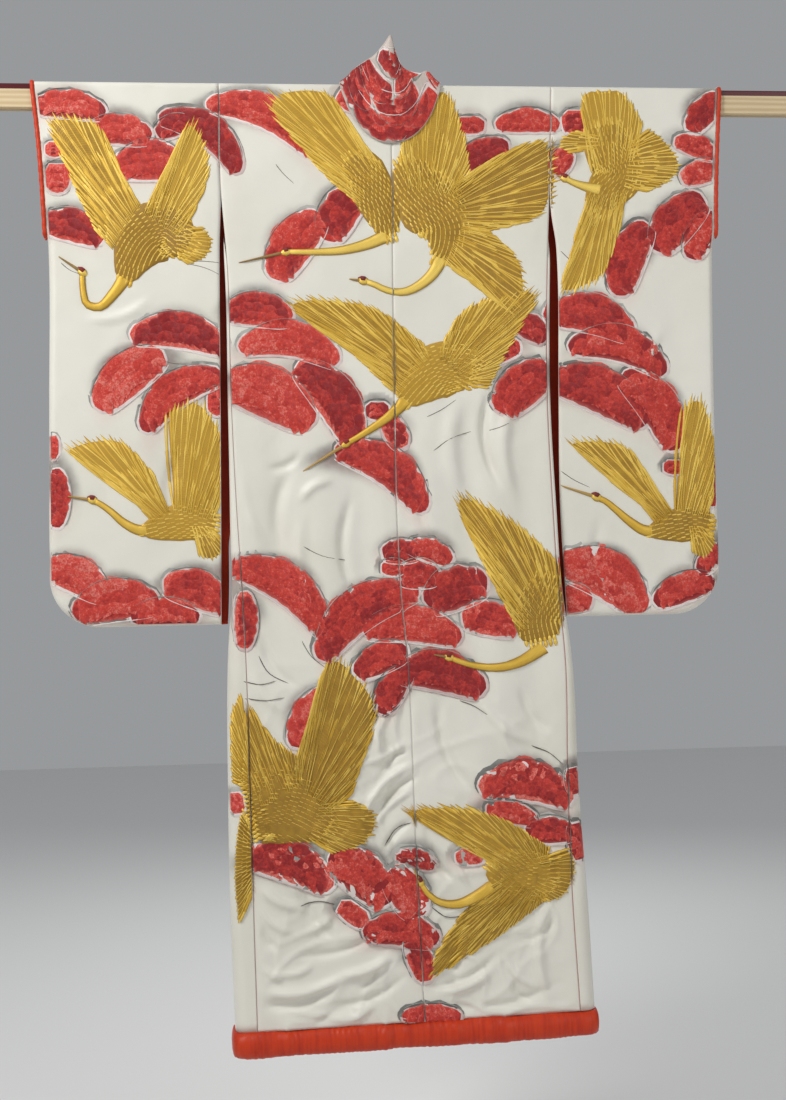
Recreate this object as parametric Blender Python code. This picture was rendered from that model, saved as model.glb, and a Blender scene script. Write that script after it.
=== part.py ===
"""An uchikake, the long padded over-kimono of a wedding, hung by its sleeves on a timber rod.

Metres, +Z up. The origin is the middle of the rod's top face. The garment's back faces -Y,
as it is shown, and its open front faces +Y. Left is -X.

A kimono is cut in straight lengths of cloth with no seam at the shoulder, so each body
length and each sleeve runs from the back, over the rod and down the front. A body length
is four solids that meet closely: the fold over the rod, the back, the front, and the strip
of the front that wraps round the side. "drop" is the
distance below the shoulder fold, and "depth" the distance of the cloth's outer face from
the rod's middle plane.
"""

import math
from collections import namedtuple

import bmesh
import bpy
import numpy as np
from mathutils import Vector

for old in list(bpy.data.objects):
    bpy.data.objects.remove(old)

# Cloth and seams
WALL = 0.003
SEAM_GAP = 0.0003
COLLAR_WALL = 0.004
COLLAR_LIFT = 0.0012 + COLLAR_WALL

# The rod and the fold of the cloth over it
ROD_LENGTH = 1.70
ROD_HEIGHT = 0.048
ROD_THICKNESS = 0.023
ROD_CAP_HEIGHT = 0.011
ROD_CAP_STEP = 0.0015
ROD_EDGE_ROUND = 0.003
SHOULDER_Z = 0.0036
SHOULDER_ROUND = 0.008
SHOULDER_DEPTH = 0.0151
SHOULDER_FLAT = SHOULDER_DEPTH - SHOULDER_ROUND

# Body
HEM_DROP = 1.780
HEM_SLANT = 0.018
HEM_SLANT_START = 1.20
NECK_HALF = 0.085
NECK_DROP = 0.100
NECK_ROUND = 1.6
NECK_FLARE = 0.75
ARMHOLE_DROP = 0.200
VENT_DROP = 0.350
SIDE_ROUND_MOST = 0.026
SIDE_STRIP_LEAST = 0.001
EDGE_CLUSTER = 0.0025

# Front overlap panels
FRONT_CORNER_ROUND = 0.045
COLLAR_END_DROP = 0.950
COLLAR_FRONT_OUTER = 0.096

# Sleeves
SLEEVE_DROP = 1.022
SLEEVE_CORNER_ROUND = 0.095
SLEEVE_EDGE_ROUND = 0.014
CUFF_DROP = 0.310
CUFF_CLOSE = 0.030
BEHIND_LIFT = 0.0060
BEHIND_START = ARMHOLE_DROP
BEHIND_RAMP = 0.035
BEHIND_RUN = 0.070
BEHIND_REACH = 0.024
BEHIND_REACH_START = 0.222
BEHIND_REACH_END = 0.300
BEHIND_FOOT_START = 0.230
BEHIND_FOOT_RUN = 0.090
BEHIND_FADE = 0.050
BEHIND_CLEAR = 0.003

# Padded rolls of the red lining
HEM_ROLL_HALF_HEIGHT = 0.0240
HEM_ROLL_HALF_DEPTH = 0.0165
EDGE_ROLL_HALF = 0.0070
CORNER_ROLL_HALF = 0.0090
ROLL_LUMP = 0.0016
ROLL_GAP = 0.0005
ROLL_TOP_DROP = 0.960
ROLL_SPACING = 0.010
CUFF_ROLL_HALF_WIDTH = 0.0040
CUFF_ROLL_HALF_DEPTH = 0.0030
CUFF_ROLL_STOP = 0.016

# Columns across a body length, a sleeve, an overlap panel and the collar
BODY_COLUMNS = 12
WRAP_COLUMNS = 8
SLEEVE_COLUMNS = 9
OVERLAP_COLUMNS = 3
COLLAR_COLUMNS = 4
ROLL_SIDES = 8
CUFF_SIDES = 6

Outline = namedtuple("Outline", "drop centre left_seam left_fold right_seam right_fold")
OUTLINE = [
    Outline(0.000, 0.012, -0.3135, -0.3185, 0.3225, 0.3275),
    Outline(0.180, 0.012, -0.3140, -0.3190, 0.3170, 0.3220),
    Outline(0.350, 0.010, -0.3035, -0.3085, 0.3085, 0.3140),
    Outline(0.600, 0.008, -0.3010, -0.3070, 0.3030, 0.3090),
    Outline(0.800, 0.008, -0.2950, -0.3070, 0.3090, 0.3160),
    Outline(0.985, 0.014, -0.2860, -0.3090, 0.3180, 0.3265),
    Outline(1.080, 0.022, -0.2830, -0.3155, 0.3260, 0.3400),
    Outline(1.350, 0.030, -0.2790, -0.3205, 0.3270, 0.3520),
    Outline(1.550, 0.034, -0.2770, -0.3205, 0.3310, 0.3640),
    Outline(1.780, 0.042, -0.2740, -0.3150, 0.3420, 0.3740),
]

Depth = namedtuple("Depth", "drop back front sleeve")
DEPTH = [
    Depth(0.008, 0.0151, 0.0151, 0.0151),
    Depth(0.060, 0.0155, 0.0155, 0.0155),
    Depth(0.200, 0.0175, 0.0175, 0.0175),
    Depth(0.350, 0.0200, 0.0190, 0.0170),
    Depth(0.700, 0.0250, 0.0230, 0.0150),
    Depth(1.022, 0.0300, 0.0270, 0.0120),
    Depth(1.400, 0.0350, 0.0330, 0.0120),
    Depth(1.780, 0.0400, 0.0380, 0.0120),
]

# Distances from the middle of the front opening
Opening = namedtuple("Opening", "drop seam edge")
OPENING = [
    Opening(0.000, 0.085, 0.085),
    Opening(0.300, 0.094, 0.084),
    Opening(0.600, 0.120, 0.048),
    Opening(0.900, 0.140, 0.029),
    Opening(1.200, 0.150, 0.026),
    Opening(1.780, 0.160, 0.026),
]

Sleeve = namedtuple("Sleeve", "drop left_inner left_outer right_inner right_outer")
SLEEVE = [
    Sleeve(0.000, -0.3135, -0.6560, 0.3225, 0.6510),
    Sleeve(0.130, -0.3138, -0.6440, 0.3190, 0.6430),
    Sleeve(0.200, -0.3142, -0.6400, 0.3180, 0.6400),
    Sleeve(0.310, -0.3170, -0.6360, 0.3265, 0.6380),
    Sleeve(0.600, -0.3205, -0.6400, 0.3260, 0.6362),
    Sleeve(0.790, -0.3230, -0.6435, 0.3250, 0.6385),
    Sleeve(1.022, -0.3265, -0.6460, 0.3350, 0.6430),
]

# The collar's free edge behind the neck, by how far round from the centre back it is.
# Distances across are from the centre back, and depth is towards the back.
Collar = namedtuple("Collar", "drop seam left_free left_free_z right_free right_free_z free_depth")
COLLAR_BACK = [
    Collar(0.114, 0.000, 0.000, 0.091, 0.000, 0.091, 0.0360),
    Collar(0.109, 0.026, 0.013, 0.076, 0.008, 0.066, 0.0300),
    Collar(0.090, 0.054, 0.031, 0.056, 0.017, 0.042, 0.0255),
    Collar(0.060, 0.076, 0.050, 0.044, 0.032, 0.028, 0.0225),
    Collar(0.026, 0.090, 0.065, 0.034, 0.048, 0.021, 0.0205),
]

# The collar's free edge over the rod, by the turn of the fold, back to front
Crossing = namedtuple("Crossing", "side turn free free_y free_z")
COLLAR_CROSSING = [
    Crossing(-1, 0, 0.070, -0.0200, 0.0290),
    Crossing(-1, 45, 0.073, -0.0140, 0.0240),
    Crossing(-1, 90, 0.074, -0.0060, 0.0200),
    Crossing(1, 90, 0.070, 0.0060, 0.0180),
    Crossing(1, 45, 0.062, 0.0155, 0.0120),
    Crossing(1, 0, 0.050, 0.0203, 0.0000),
]

Front = namedtuple("Front", "drop outer free")
COLLAR_FRONT = [
    Front(0.040, 0.0950, 0.034),
    Front(0.090, 0.0955, 0.024),
    Front(0.160, 0.0960, 0.020),
    Front(0.300, 0.0960, 0.018),
    Front(0.450, 0.0960, 0.017),
    Front(0.600, 0.0960, 0.016),
    Front(0.780, 0.0960, 0.015),
    Front(COLLAR_END_DROP, 0.0960, 0.014),
]

# The largest folds. across and drop are the fold's upper end, lean how far it drifts across
# per metre down, and rise how far it stands out (a trough is negative).
Fold = namedtuple("Fold", "side across drop length lean width rise")
FOLDS = [
    Fold(-1, 0.075, 0.50, 0.75, -0.02, 0.030, 0.0065),
    Fold(-1, 0.135, 0.48, 0.80, 0.03, 0.026, -0.0060),
    Fold(-1, 0.190, 0.52, 0.80, 0.02, 0.030, 0.0060),
    Fold(-1, 0.255, 0.62, 0.75, 0.03, 0.026, -0.0045),
    Fold(-1, -0.075, 0.60, 0.60, 0.06, 0.028, -0.0055),
    Fold(-1, -0.150, 0.52, 0.80, 0.05, 0.034, 0.0060),
    Fold(-1, -0.215, 0.55, 0.60, -0.02, 0.028, -0.0045),
    Fold(-1, 0.020, 1.10, 0.42, -0.16, 0.022, -0.0070),
    Fold(-1, -0.060, 1.12, 0.45, -0.10, 0.024, 0.0060),
    Fold(-1, 0.130, 1.08, 0.60, 0.12, 0.034, 0.0060),
    Fold(-1, 0.250, 1.15, 0.55, 0.06, 0.030, -0.0050),
    Fold(-1, -0.180, 1.35, 0.42, 0.08, 0.036, -0.0060),
    Fold(-1, -0.480, 0.30, 0.60, 0.02, 0.040, 0.0035),
    Fold(-1, -0.400, 0.35, 0.55, -0.02, 0.030, -0.0035),
    Fold(-1, 0.460, 0.30, 0.60, 0.03, 0.040, 0.0035),
    Fold(-1, 0.560, 0.30, 0.55, 0.02, 0.032, -0.0030),
    Fold(1, -0.200, 0.40, 1.20, -0.01, 0.032, 0.0055),
    Fold(1, 0.215, 0.45, 1.15, 0.01, 0.032, 0.0055),
    Fold(1, -0.110, 1.02, 0.70, -0.03, 0.024, -0.0045),
    Fold(1, 0.165, 1.02, 0.70, 0.05, 0.024, -0.0045),
    Fold(1, -0.490, 0.30, 0.60, -0.02, 0.040, 0.0035),
    Fold(1, 0.500, 0.30, 0.60, 0.02, 0.040, 0.0035),
]
FOLD_EDGE_FADE = 0.035

# side is -1 on the back and 1 on the front. turn is 0 on a hanging wall, and up to 90
# degrees on the round of the fold over the rod.
Station = namedtuple("Station", "side drop turn")
HANGING_DROPS = [
    0.350, 0.420, 0.495, 0.570, 0.645, 0.715, 0.785, 0.855, 0.920, 0.985, 1.045, 1.105,
    1.165, 1.230, 1.295, 1.360, 1.425, 1.490, 1.555, 1.620, 1.680, 1.735, 1.780,
]
FOLD_END_DROP = 0.026
BACK_DROPS = [FOLD_END_DROP, 0.048, 0.068, 0.085, 0.096, 0.100, 0.140, 0.200, 0.280] + HANGING_DROPS
FRONT_DROPS = [FOLD_END_DROP, 0.070, 0.130, 0.200, 0.208, 0.235, 0.275, 0.315] + HANGING_DROPS
OVERLAP_DROPS = [0.315] + HANGING_DROPS[:-1] + [1.760, HEM_DROP]
SLEEVE_DROPS = [
    0.850, 0.760, 0.670, 0.580, 0.490, 0.420, 0.360, 0.325, 0.310, 0.295, 0.275, 0.235,
    0.208, 0.200, 0.130, 0.060, 0.026,
]
SHOULDER_TURNS = [0, 30, 60, 90]
CORNER_TURNS = [90, 75, 60, 45, 30, 15, 0]
SLEEVE_EDGE_OFFSETS = [0.0, 0.0025, 0.0075, 0.016]


def mix(a, b, share):
    return a + (b - a) * share


def ease(share):
    """0 to 1 with no slope at either end."""
    share = min(max(share, 0.0), 1.0)
    return share * share * (3 - 2 * share)


def curve_through(table, name, along="drop"):
    """A smooth function of a table's first column, through the values of the named one."""
    at = np.array([getattr(row, along) for row in table])
    values = np.array([getattr(row, name) for row in table])
    slopes = np.gradient(values, at)

    def value(where):
        where = min(max(where, at[0]), at[-1])
        k = min(int(np.searchsorted(at, where, side="right")) - 1, len(at) - 2)
        span = at[k + 1] - at[k]
        t = (where - at[k]) / span
        start = (1 + 2 * t) * (1 - t) ** 2 * values[k] + t * (1 - t) ** 2 * span * slopes[k]
        end = t * t * (3 - 2 * t) * values[k + 1] + t * t * (t - 1) * span * slopes[k + 1]
        return float(start + end)

    return value


outline = {name: curve_through(OUTLINE, name) for name in Outline._fields[1:]}
depth = {name: curve_through(DEPTH, name) for name in Depth._fields[1:]}
opening = {name: curve_through(OPENING, name) for name in Opening._fields[1:]}
sleeve_edge = {name: curve_through(SLEEVE, name) for name in Sleeve._fields[1:]}
HAND_NAME = {-1: "left", 1: "right"}


def relief(side, x, drop, fade_from):
    """How far the large folds stand out of the cloth there. They die away at a side edge."""
    total = 0.0
    for fold in FOLDS:
        along = drop - fold.drop
        if fold.side != side or not 0 < along < fold.length:
            continue
        offset = (x - fold.across - fold.lean * along) / fold.width
        total += fold.rise * math.exp(-offset * offset) * math.sin(math.pi * along / fold.length)
    return total * ease(abs(x - fade_from) / FOLD_EDGE_FADE)


def hem_lift(x, drop):
    """The hem rises towards the right, and the cloth above it a little with it."""
    return HEM_SLANT * x * ease((drop - HEM_SLANT_START) / (HEM_DROP - HEM_SLANT_START))


def over_rod(station, out, lift=0.0):
    """Depth and height of the outer face where a wall hangs, or turns over the rod."""
    if station.turn:
        turn = math.radians(station.turn)
        radius = SHOULDER_ROUND + lift
        y = station.side * (SHOULDER_FLAT + radius * math.cos(turn))
        return y, SHOULDER_Z - SHOULDER_ROUND + radius * math.sin(turn)
    return station.side * (out + lift), SHOULDER_Z - station.drop


def shoulder_stations():
    up = [Station(-1, SHOULDER_ROUND, turn) for turn in SHOULDER_TURNS]
    down = [Station(1, SHOULDER_ROUND, turn) for turn in reversed(SHOULDER_TURNS)]
    return up + down


def neck_half(drop):
    """Half the width of the neck hole at that drop, on the back."""
    if drop >= NECK_DROP:
        return 0.0
    return NECK_HALF * (1 - (drop / NECK_DROP) ** NECK_ROUND) ** NECK_FLARE


def clear_old_meshes(name):
    old = bpy.data.meshes.get(name)
    if old:
        bpy.data.meshes.remove(old)


def finish(name, bm, material):
    bmesh.ops.recalc_face_normals(bm, faces=bm.faces)
    clear_old_meshes(name)
    mesh = bpy.data.meshes.new(name)
    bm.to_mesh(mesh)
    bm.free()
    mesh.shade_smooth()
    mesh.set_sharp_from_angle(angle=math.radians(50))
    mesh.materials.append(material)
    obj = bpy.data.objects.new(name, mesh)
    bpy.context.scene.collection.objects.link(obj)
    return obj


def sheet_of(rows, flip):
    """A sheet through rows of points. Its first and last columns are seams or free edges."""
    bm = bmesh.new()
    grid = [[bm.verts.new(point) for point in row] for row in rows]
    for lower, upper in zip(grid, grid[1:]):
        for k in range(len(lower) - 1):
            ring = [lower[k], lower[k + 1], upper[k + 1], upper[k]]
            bm.faces.new(reversed(ring) if flip else ring)
    return bm, grid


def thicken(bm, wall, seam_verts):
    """Gives a sheet its wall, inwards. At a seam the wall's edge stays square to X."""
    bm.normal_update()
    faces, verts = list(bm.faces), list(bm.verts)
    rims = [edge.link_loops[0] for edge in bm.edges if edge.is_boundary]
    inner = {}
    for vert in verts:
        normal = vert.normal.copy()
        if vert in seam_verts:
            normal.x = 0.0
            normal.normalize()
        inner[vert] = bm.verts.new(vert.co - normal * wall)
    for face in faces:
        bm.faces.new([inner[vert] for vert in reversed(face.verts)])
    for loop in rims:
        a, b = loop.vert, loop.link_loop_next.vert
        bm.faces.new([b, a, inner[a], inner[b]])


def cloth(name, rows, flip, material, wall=WALL):
    """One length of cloth as a closed wall."""
    bm, grid = sheet_of(rows, flip)
    seams = {row[0] for row in grid} | {row[-1] for row in grid}
    thicken(bm, wall, seams)
    return finish(name, bm, material)


def tube(name, rings, material):
    """A closed roll through rings of points."""
    bm = bmesh.new()
    loops = [[bm.verts.new(point) for point in ring] for ring in rings]
    count = len(loops[0])
    for one, other in zip(loops, loops[1:]):
        for k in range(count):
            following = (k + 1) % count
            bm.faces.new([one[k], one[following], other[following], other[k]])
    bm.faces.new(loops[0])
    bm.faces.new(loops[-1])
    return finish(name, bm, material)


def material(name, colour, roughness, metallic=0.0):
    made = bpy.data.materials.new(name)
    made.use_nodes = True
    shader = made.node_tree.nodes["Principled BSDF"]
    shader.inputs["Base Color"].default_value = (*colour, 1.0)
    shader.inputs["Roughness"].default_value = roughness
    shader.inputs["Metallic"].default_value = metallic
    return made


IVORY_SATIN = material("ivory_satin", (0.68, 0.65, 0.56), 0.45)
COLLAR_BROCADE = material("collar_brocade", (0.62, 0.10, 0.08), 0.55)
RED_SILK = material("red_silk", (0.70, 0.05, 0.02), 0.50)
TIMBER = material("timber", (0.62, 0.50, 0.32), 0.60)


def wrapped_columns(hand, drop):
    """A front's points across, from the side seam on the back, round the side, to its inner edge."""
    seam = outline[HAND_NAME[hand] + "_seam"](drop) + hand * SEAM_GAP / 2
    fold = outline[HAND_NAME[hand] + "_fold"](drop)
    back, front = depth["back"](drop), depth["front"](drop)
    strip = abs(fold - seam)
    radius = min(strip - SIDE_STRIP_LEAST, SIDE_ROUND_MOST)
    points = [(seam, -back)]
    for angle in (90, 60, 30, 0):
        turn = math.radians(angle)
        points.append((fold - hand * radius * (1 - math.cos(turn)), -back + radius * (1 - math.sin(turn))))
    for angle in (0, 30, 60, 90):
        turn = math.radians(angle)
        points.append((fold - hand * radius * (1 - math.cos(turn)), front - radius * (1 - math.sin(turn))))
    return points


def front_columns(hand, drop):
    """(x, y) of a body length's front across, from its outer edge to its inner one."""
    centre = outline["centre"](drop)
    outer = outline[HAND_NAME[hand] + "_seam"](min(drop, ARMHOLE_DROP)) - hand * SEAM_GAP / 2
    inner = centre + hand * (opening["seam"](drop) + SEAM_GAP / 2)
    out = depth["front"](drop)
    cluster = ease(drop / ARMHOLE_DROP)
    plain = []
    for k in range(BODY_COLUMNS + 1):
        even = mix(outer, inner, k / BODY_COLUMNS)
        if k <= WRAP_COLUMNS:
            near = outer - hand * EDGE_CLUSTER * k
        else:
            start = outer - hand * EDGE_CLUSTER * WRAP_COLUMNS
            near = mix(start, inner, (k - WRAP_COLUMNS) / (BODY_COLUMNS - WRAP_COLUMNS))
        plain.append((mix(even, near, cluster), out))
    share = ease((drop - ARMHOLE_DROP) / (VENT_DROP - ARMHOLE_DROP))
    if not share:
        return plain
    wrapped = wrapped_columns(hand, drop)
    start = wrapped[-1][0]
    for k in range(1, BODY_COLUMNS - WRAP_COLUMNS + 1):
        wrapped.append((mix(start, inner, k / (BODY_COLUMNS - WRAP_COLUMNS)), out))
    return [(mix(a[0], b[0], share), mix(a[1], b[1], share)) for a, b in zip(plain, wrapped)]


def body_row(hand, station):
    """Points of one row of a body length, from its outer edge to its inner one."""
    drop = station.drop
    seam_name = HAND_NAME[hand] + "_seam"
    seam = outline[seam_name](drop)
    row = []
    if station.side > 0 and not station.turn:
        for k, (x, y) in enumerate(front_columns(hand, drop)):
            if k > WRAP_COLUMNS:
                y += relief(1, x, drop, seam)
            row.append((x, y, SHOULDER_Z - drop + hem_lift(x, drop)))
        return row
    outer = seam - hand * SEAM_GAP / 2
    neck = neck_half(drop) if not station.turn and station.side < 0 else NECK_HALF
    inner = outline["centre"](drop) + hand * (neck + SEAM_GAP / 2)
    for k in range(BODY_COLUMNS + 1):
        x = mix(outer, inner, k / BODY_COLUMNS)
        out = depth["back"](drop) + (0 if station.turn else relief(-1, x, drop, seam))
        y, z = over_rod(station, out)
        row.append((x, y, z + hem_lift(x, drop)))
    return row


def build_shoulder(hand):
    """The fold of a body length over the rod."""
    end = FOLD_END_DROP - SEAM_GAP
    stations = [Station(-1, end, 0)] + shoulder_stations() + [Station(1, end, 0)]
    rows = [body_row(hand, station) for station in stations]
    return cloth(f"shoulder_{HAND_NAME[hand]}", rows, hand > 0, IVORY_SATIN)


def build_back(hand):
    rows = [body_row(hand, Station(-1, drop, 0)) for drop in reversed(BACK_DROPS)]
    return cloth(f"back_{HAND_NAME[hand]}", rows, hand > 0, IVORY_SATIN)


def build_front(hand):
    """A body length's front, without the strip that wraps round the side below the armhole."""
    rows = [body_row(hand, Station(1, drop, 0)) for drop in FRONT_DROPS]
    bm, grid = sheet_of(rows, hand > 0)
    below = [row for row, drop in zip(grid, FRONT_DROPS) if drop > ARMHOLE_DROP]
    above = [row for row, drop in zip(grid, FRONT_DROPS) if drop <= ARMHOLE_DROP]
    seams = {row[-1] for row in grid} | {row[0] for row in above} | {row[WRAP_COLUMNS] for row in below}
    for row in below:
        row[WRAP_COLUMNS].co.x -= hand * SEAM_GAP / 2
    strip = [vert for row in below for vert in row[:WRAP_COLUMNS]]
    bmesh.ops.delete(bm, geom=strip, context="VERTS")
    thicken(bm, WALL, seams)
    return finish(f"front_{HAND_NAME[hand]}", bm, IVORY_SATIN)


def build_side(hand):
    """The strip of a front that wraps round the side, below the armhole."""
    drops = [ARMHOLE_DROP + SEAM_GAP] + [drop for drop in FRONT_DROPS if drop > ARMHOLE_DROP]
    rows = []
    for drop in drops:
        row = body_row(hand, Station(1, drop, 0))[: WRAP_COLUMNS + 1]
        x, y, z = row[-1]
        rows.append(row[:-1] + [(x + hand * SEAM_GAP / 2, y, z)])
    return cloth(f"side_{HAND_NAME[hand]}", rows, hand > 0, IVORY_SATIN)


def corner_lift(distance, drop):
    """How far the overlap's lower inner corner is rounded up, by the distance from its edge."""
    if distance >= FRONT_CORNER_ROUND:
        return 0.0
    radius = FRONT_CORNER_ROUND
    full = radius - math.sqrt(radius**2 - (radius - distance) ** 2)
    return full * ease((drop - HEM_DROP + 3 * radius) / (3 * radius))


def overlap_row(hand, drop):
    centre = outline["centre"](drop)
    outer = centre + hand * (opening["seam"](drop) - SEAM_GAP / 2)
    edge = centre + hand * opening["edge"](drop)
    seam = outline[HAND_NAME[hand] + "_seam"](drop)
    shares = [0.0, 0.45, 0.80, 1.0] if drop < HEM_DROP - FRONT_CORNER_ROUND else [0.0, 0.66, 0.88, 1.0]
    row = []
    for share in shares:
        x = mix(outer, edge, share)
        y = depth["front"](drop) + relief(1, x, drop, seam)
        z = SHOULDER_Z - drop + hem_lift(x, drop) + corner_lift(abs(x - edge), drop)
        row.append((x, y, z))
    return row


def build_overlap(hand):
    rows = [overlap_row(hand, drop) for drop in OVERLAP_DROPS]
    return cloth(f"overlap_{HAND_NAME[hand]}", rows, hand > 0, IVORY_SATIN)


def sleeve_closing(hand, x, drop, outer):
    """1 where the sleeve's two layers stand apart, falling to 0 at its sewn edge."""
    radius = SLEEVE_CORNER_ROUND
    centre_x = outer - hand * radius
    beyond = hand * (x - centre_x)
    below = drop - (SLEEVE_DROP - radius)
    if beyond > 0 and below > 0:
        distance = radius - math.hypot(beyond, below)
        return rounded(distance)
    side = rounded(abs(x - outer))
    open_share = ease((CUFF_DROP - drop) / CUFF_CLOSE)
    return min(mix(side, 1.0, open_share), rounded(SLEEVE_DROP - drop))


def rounded(distance):
    share = min(max(distance / SLEEVE_EDGE_ROUND, 0.0), 1.0)
    return math.sqrt(max(0.0, 1 - (1 - share) ** 2))


def sleeve_limits(hand, drop):
    """The sleeve's inner edge on the back, and its outer edge with the round lower corner."""
    name = HAND_NAME[hand]
    free_share = ease((drop - ARMHOLE_DROP) / (CUFF_DROP - ARMHOLE_DROP))
    armhole = outline[name + "_seam"](min(drop, ARMHOLE_DROP))
    inner = mix(armhole, sleeve_edge[name + "_inner"](drop), free_share) + hand * SEAM_GAP / 2
    outer = sleeve_edge[name + "_outer"](drop)
    below = drop - (SLEEVE_DROP - SLEEVE_CORNER_ROUND)
    cut = 0.0
    if below > 0:
        cut = SLEEVE_CORNER_ROUND - math.sqrt(max(0.0, SLEEVE_CORNER_ROUND**2 - below**2))
    return inner, outer, outer - hand * cut


def sleeve_row(hand, station):
    drop = station.drop
    inner, outer, edge = sleeve_limits(hand, drop)
    reach = behind = 0.0
    if station.side > 0 and not station.turn and drop < SLEEVE_DROP:
        reach = BEHIND_REACH * ease((drop - BEHIND_REACH_START) / (BEHIND_REACH_END - BEHIND_REACH_START))
        slit = abs(inner - outline[HAND_NAME[hand] + "_fold"](drop))
        near_foot = ease((drop - SLEEVE_DROP + BEHIND_FOOT_START) / BEHIND_FOOT_RUN)
        reach = mix(reach, max(0.0, slit - BEHIND_CLEAR), near_foot)
        behind = ease((drop - BEHIND_START) / BEHIND_RAMP) * ease((SLEEVE_DROP - drop) / BEHIND_FADE)
    steps = SLEEVE_COLUMNS - len(SLEEVE_EDGE_OFFSETS) + 1
    last = edge - hand * SLEEVE_EDGE_OFFSETS[-1]
    xs = [mix(inner, last, k / steps) for k in range(steps)]
    xs[0] -= hand * reach
    xs += [edge - hand * offset for offset in reversed(SLEEVE_EDGE_OFFSETS)]
    row = []
    for x in xs:
        out = depth["sleeve"](drop)
        if not station.turn:
            out += relief(station.side, x, drop, inner)
            out *= sleeve_closing(hand, x, drop, outer)
            if behind:
                body = depth["front"](drop) + WALL + BEHIND_LIFT * 0.4
                near = ease(1 - max(0.0, hand * (x - inner)) / BEHIND_RUN)
                out = mix(out, max(out, body), near * behind)
        y, z = over_rod(station, out)
        row.append((x, y, z))
    return row


def sleeve_stations():
    radius = SLEEVE_CORNER_ROUND
    corner = [SLEEVE_DROP - radius + radius * math.sin(math.radians(turn)) for turn in CORNER_TURNS]
    drops = corner + SLEEVE_DROPS
    back = [Station(-1, drop, 0) for drop in drops]
    front = [Station(1, drop, 0) for drop in reversed(drops)]
    return back + shoulder_stations() + front


def build_sleeve(hand):
    """The sleeve's cloth is one length, sewn to itself at the foot and at the outer edge below the cuff."""
    rows = [sleeve_row(hand, station) for station in sleeve_stations()]
    bm, grid = sheet_of(rows, hand < 0)
    seam_verts = {row[0] for row in grid}
    count = len(grid)
    targets = {}
    for k, row in enumerate(grid[: count // 2]):
        opposite = grid[count - 1 - k]
        pairs = list(zip(row, opposite))
        sewn = pairs[1:] if k == 0 else pairs[-1:]
        for one, other in sewn:
            if (one.co - other.co).length < 1e-5:
                targets[other] = one
    foot_inner, foot_other = grid[0][0], grid[-1][0]
    foot_other.co = foot_inner.co
    targets[foot_other] = foot_inner
    bmesh.ops.weld_verts(bm, targetmap=targets)
    seam_verts = {vert for vert in seam_verts if vert.is_valid}
    thicken(bm, WALL, seam_verts)
    return finish(f"sleeve_{HAND_NAME[hand]}", bm, IVORY_SATIN)


def collar_sections():
    """(seam point, free point) of each section, from the left front's end round to the right's."""
    halves = {}
    for hand in (-1, 1):
        name = HAND_NAME[hand]
        half = []
        for row in COLLAR_BACK:
            centre = outline["centre"](row.drop)
            y, z = over_rod(Station(-1, row.drop, 0), depth["back"](row.drop), COLLAR_LIFT)
            free_x = centre + hand * getattr(row, name + "_free")
            free = (free_x, -row.free_depth, getattr(row, name + "_free_z"))
            half.append(((centre + hand * row.seam, y, z), free))
        centre = outline["centre"](0.0)
        for row in COLLAR_CROSSING:
            station = Station(row.side, SHOULDER_ROUND, row.turn)
            y, z = over_rod(station, SHOULDER_DEPTH, COLLAR_LIFT)
            seam = (centre + hand * COLLAR_FRONT_OUTER, y, z)
            half.append((seam, (centre + hand * row.free, row.free_y, row.free_z)))
        for row in COLLAR_FRONT:
            centre = outline["centre"](row.drop)
            y, z = over_rod(Station(1, row.drop, 0), depth["front"](row.drop), COLLAR_LIFT)
            half.append(((centre + hand * row.outer, y, z), (centre + hand * row.free, y, z)))
        halves[hand] = half
    return halves[-1][:0:-1] + halves[1]


def smoothed(points, steps):
    """Points of a smooth curve through the given ones, with so many steps between two."""
    points = [Vector(point) for point in points]
    found = []
    for k in range(len(points) - 1):
        before, after = points[max(k - 1, 0)], points[min(k + 2, len(points) - 1)]
        here, there = points[k], points[k + 1]
        span = (there - here).length
        out_slope = (there - before) * span / max((there - here).length + (here - before).length, 1e-9)
        in_slope = (after - here) * span / max((after - there).length + (there - here).length, 1e-9)
        for step in range(steps):
            t = step / steps
            start = here * ((1 + 2 * t) * (1 - t) ** 2) + out_slope * (t * (1 - t) ** 2)
            end = there * (t * t * (3 - 2 * t)) + in_slope * (t * t * (t - 1))
            found.append(start + end)
    return found + [points[-1]]


def build_collar():
    sections = collar_sections()
    seams = smoothed([seam for seam, _ in sections], 2)
    frees = smoothed([free for _, free in sections], 2)
    rows = []
    for seam, free in zip(seams, frees):
        rows.append([seam.lerp(free, k / COLLAR_COLUMNS) for k in range(COLLAR_COLUMNS + 1)])
    bm, _ = sheet_of(rows, True)
    thicken(bm, COLLAR_WALL, set())
    return finish("collar", bm, COLLAR_BROCADE)


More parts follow.
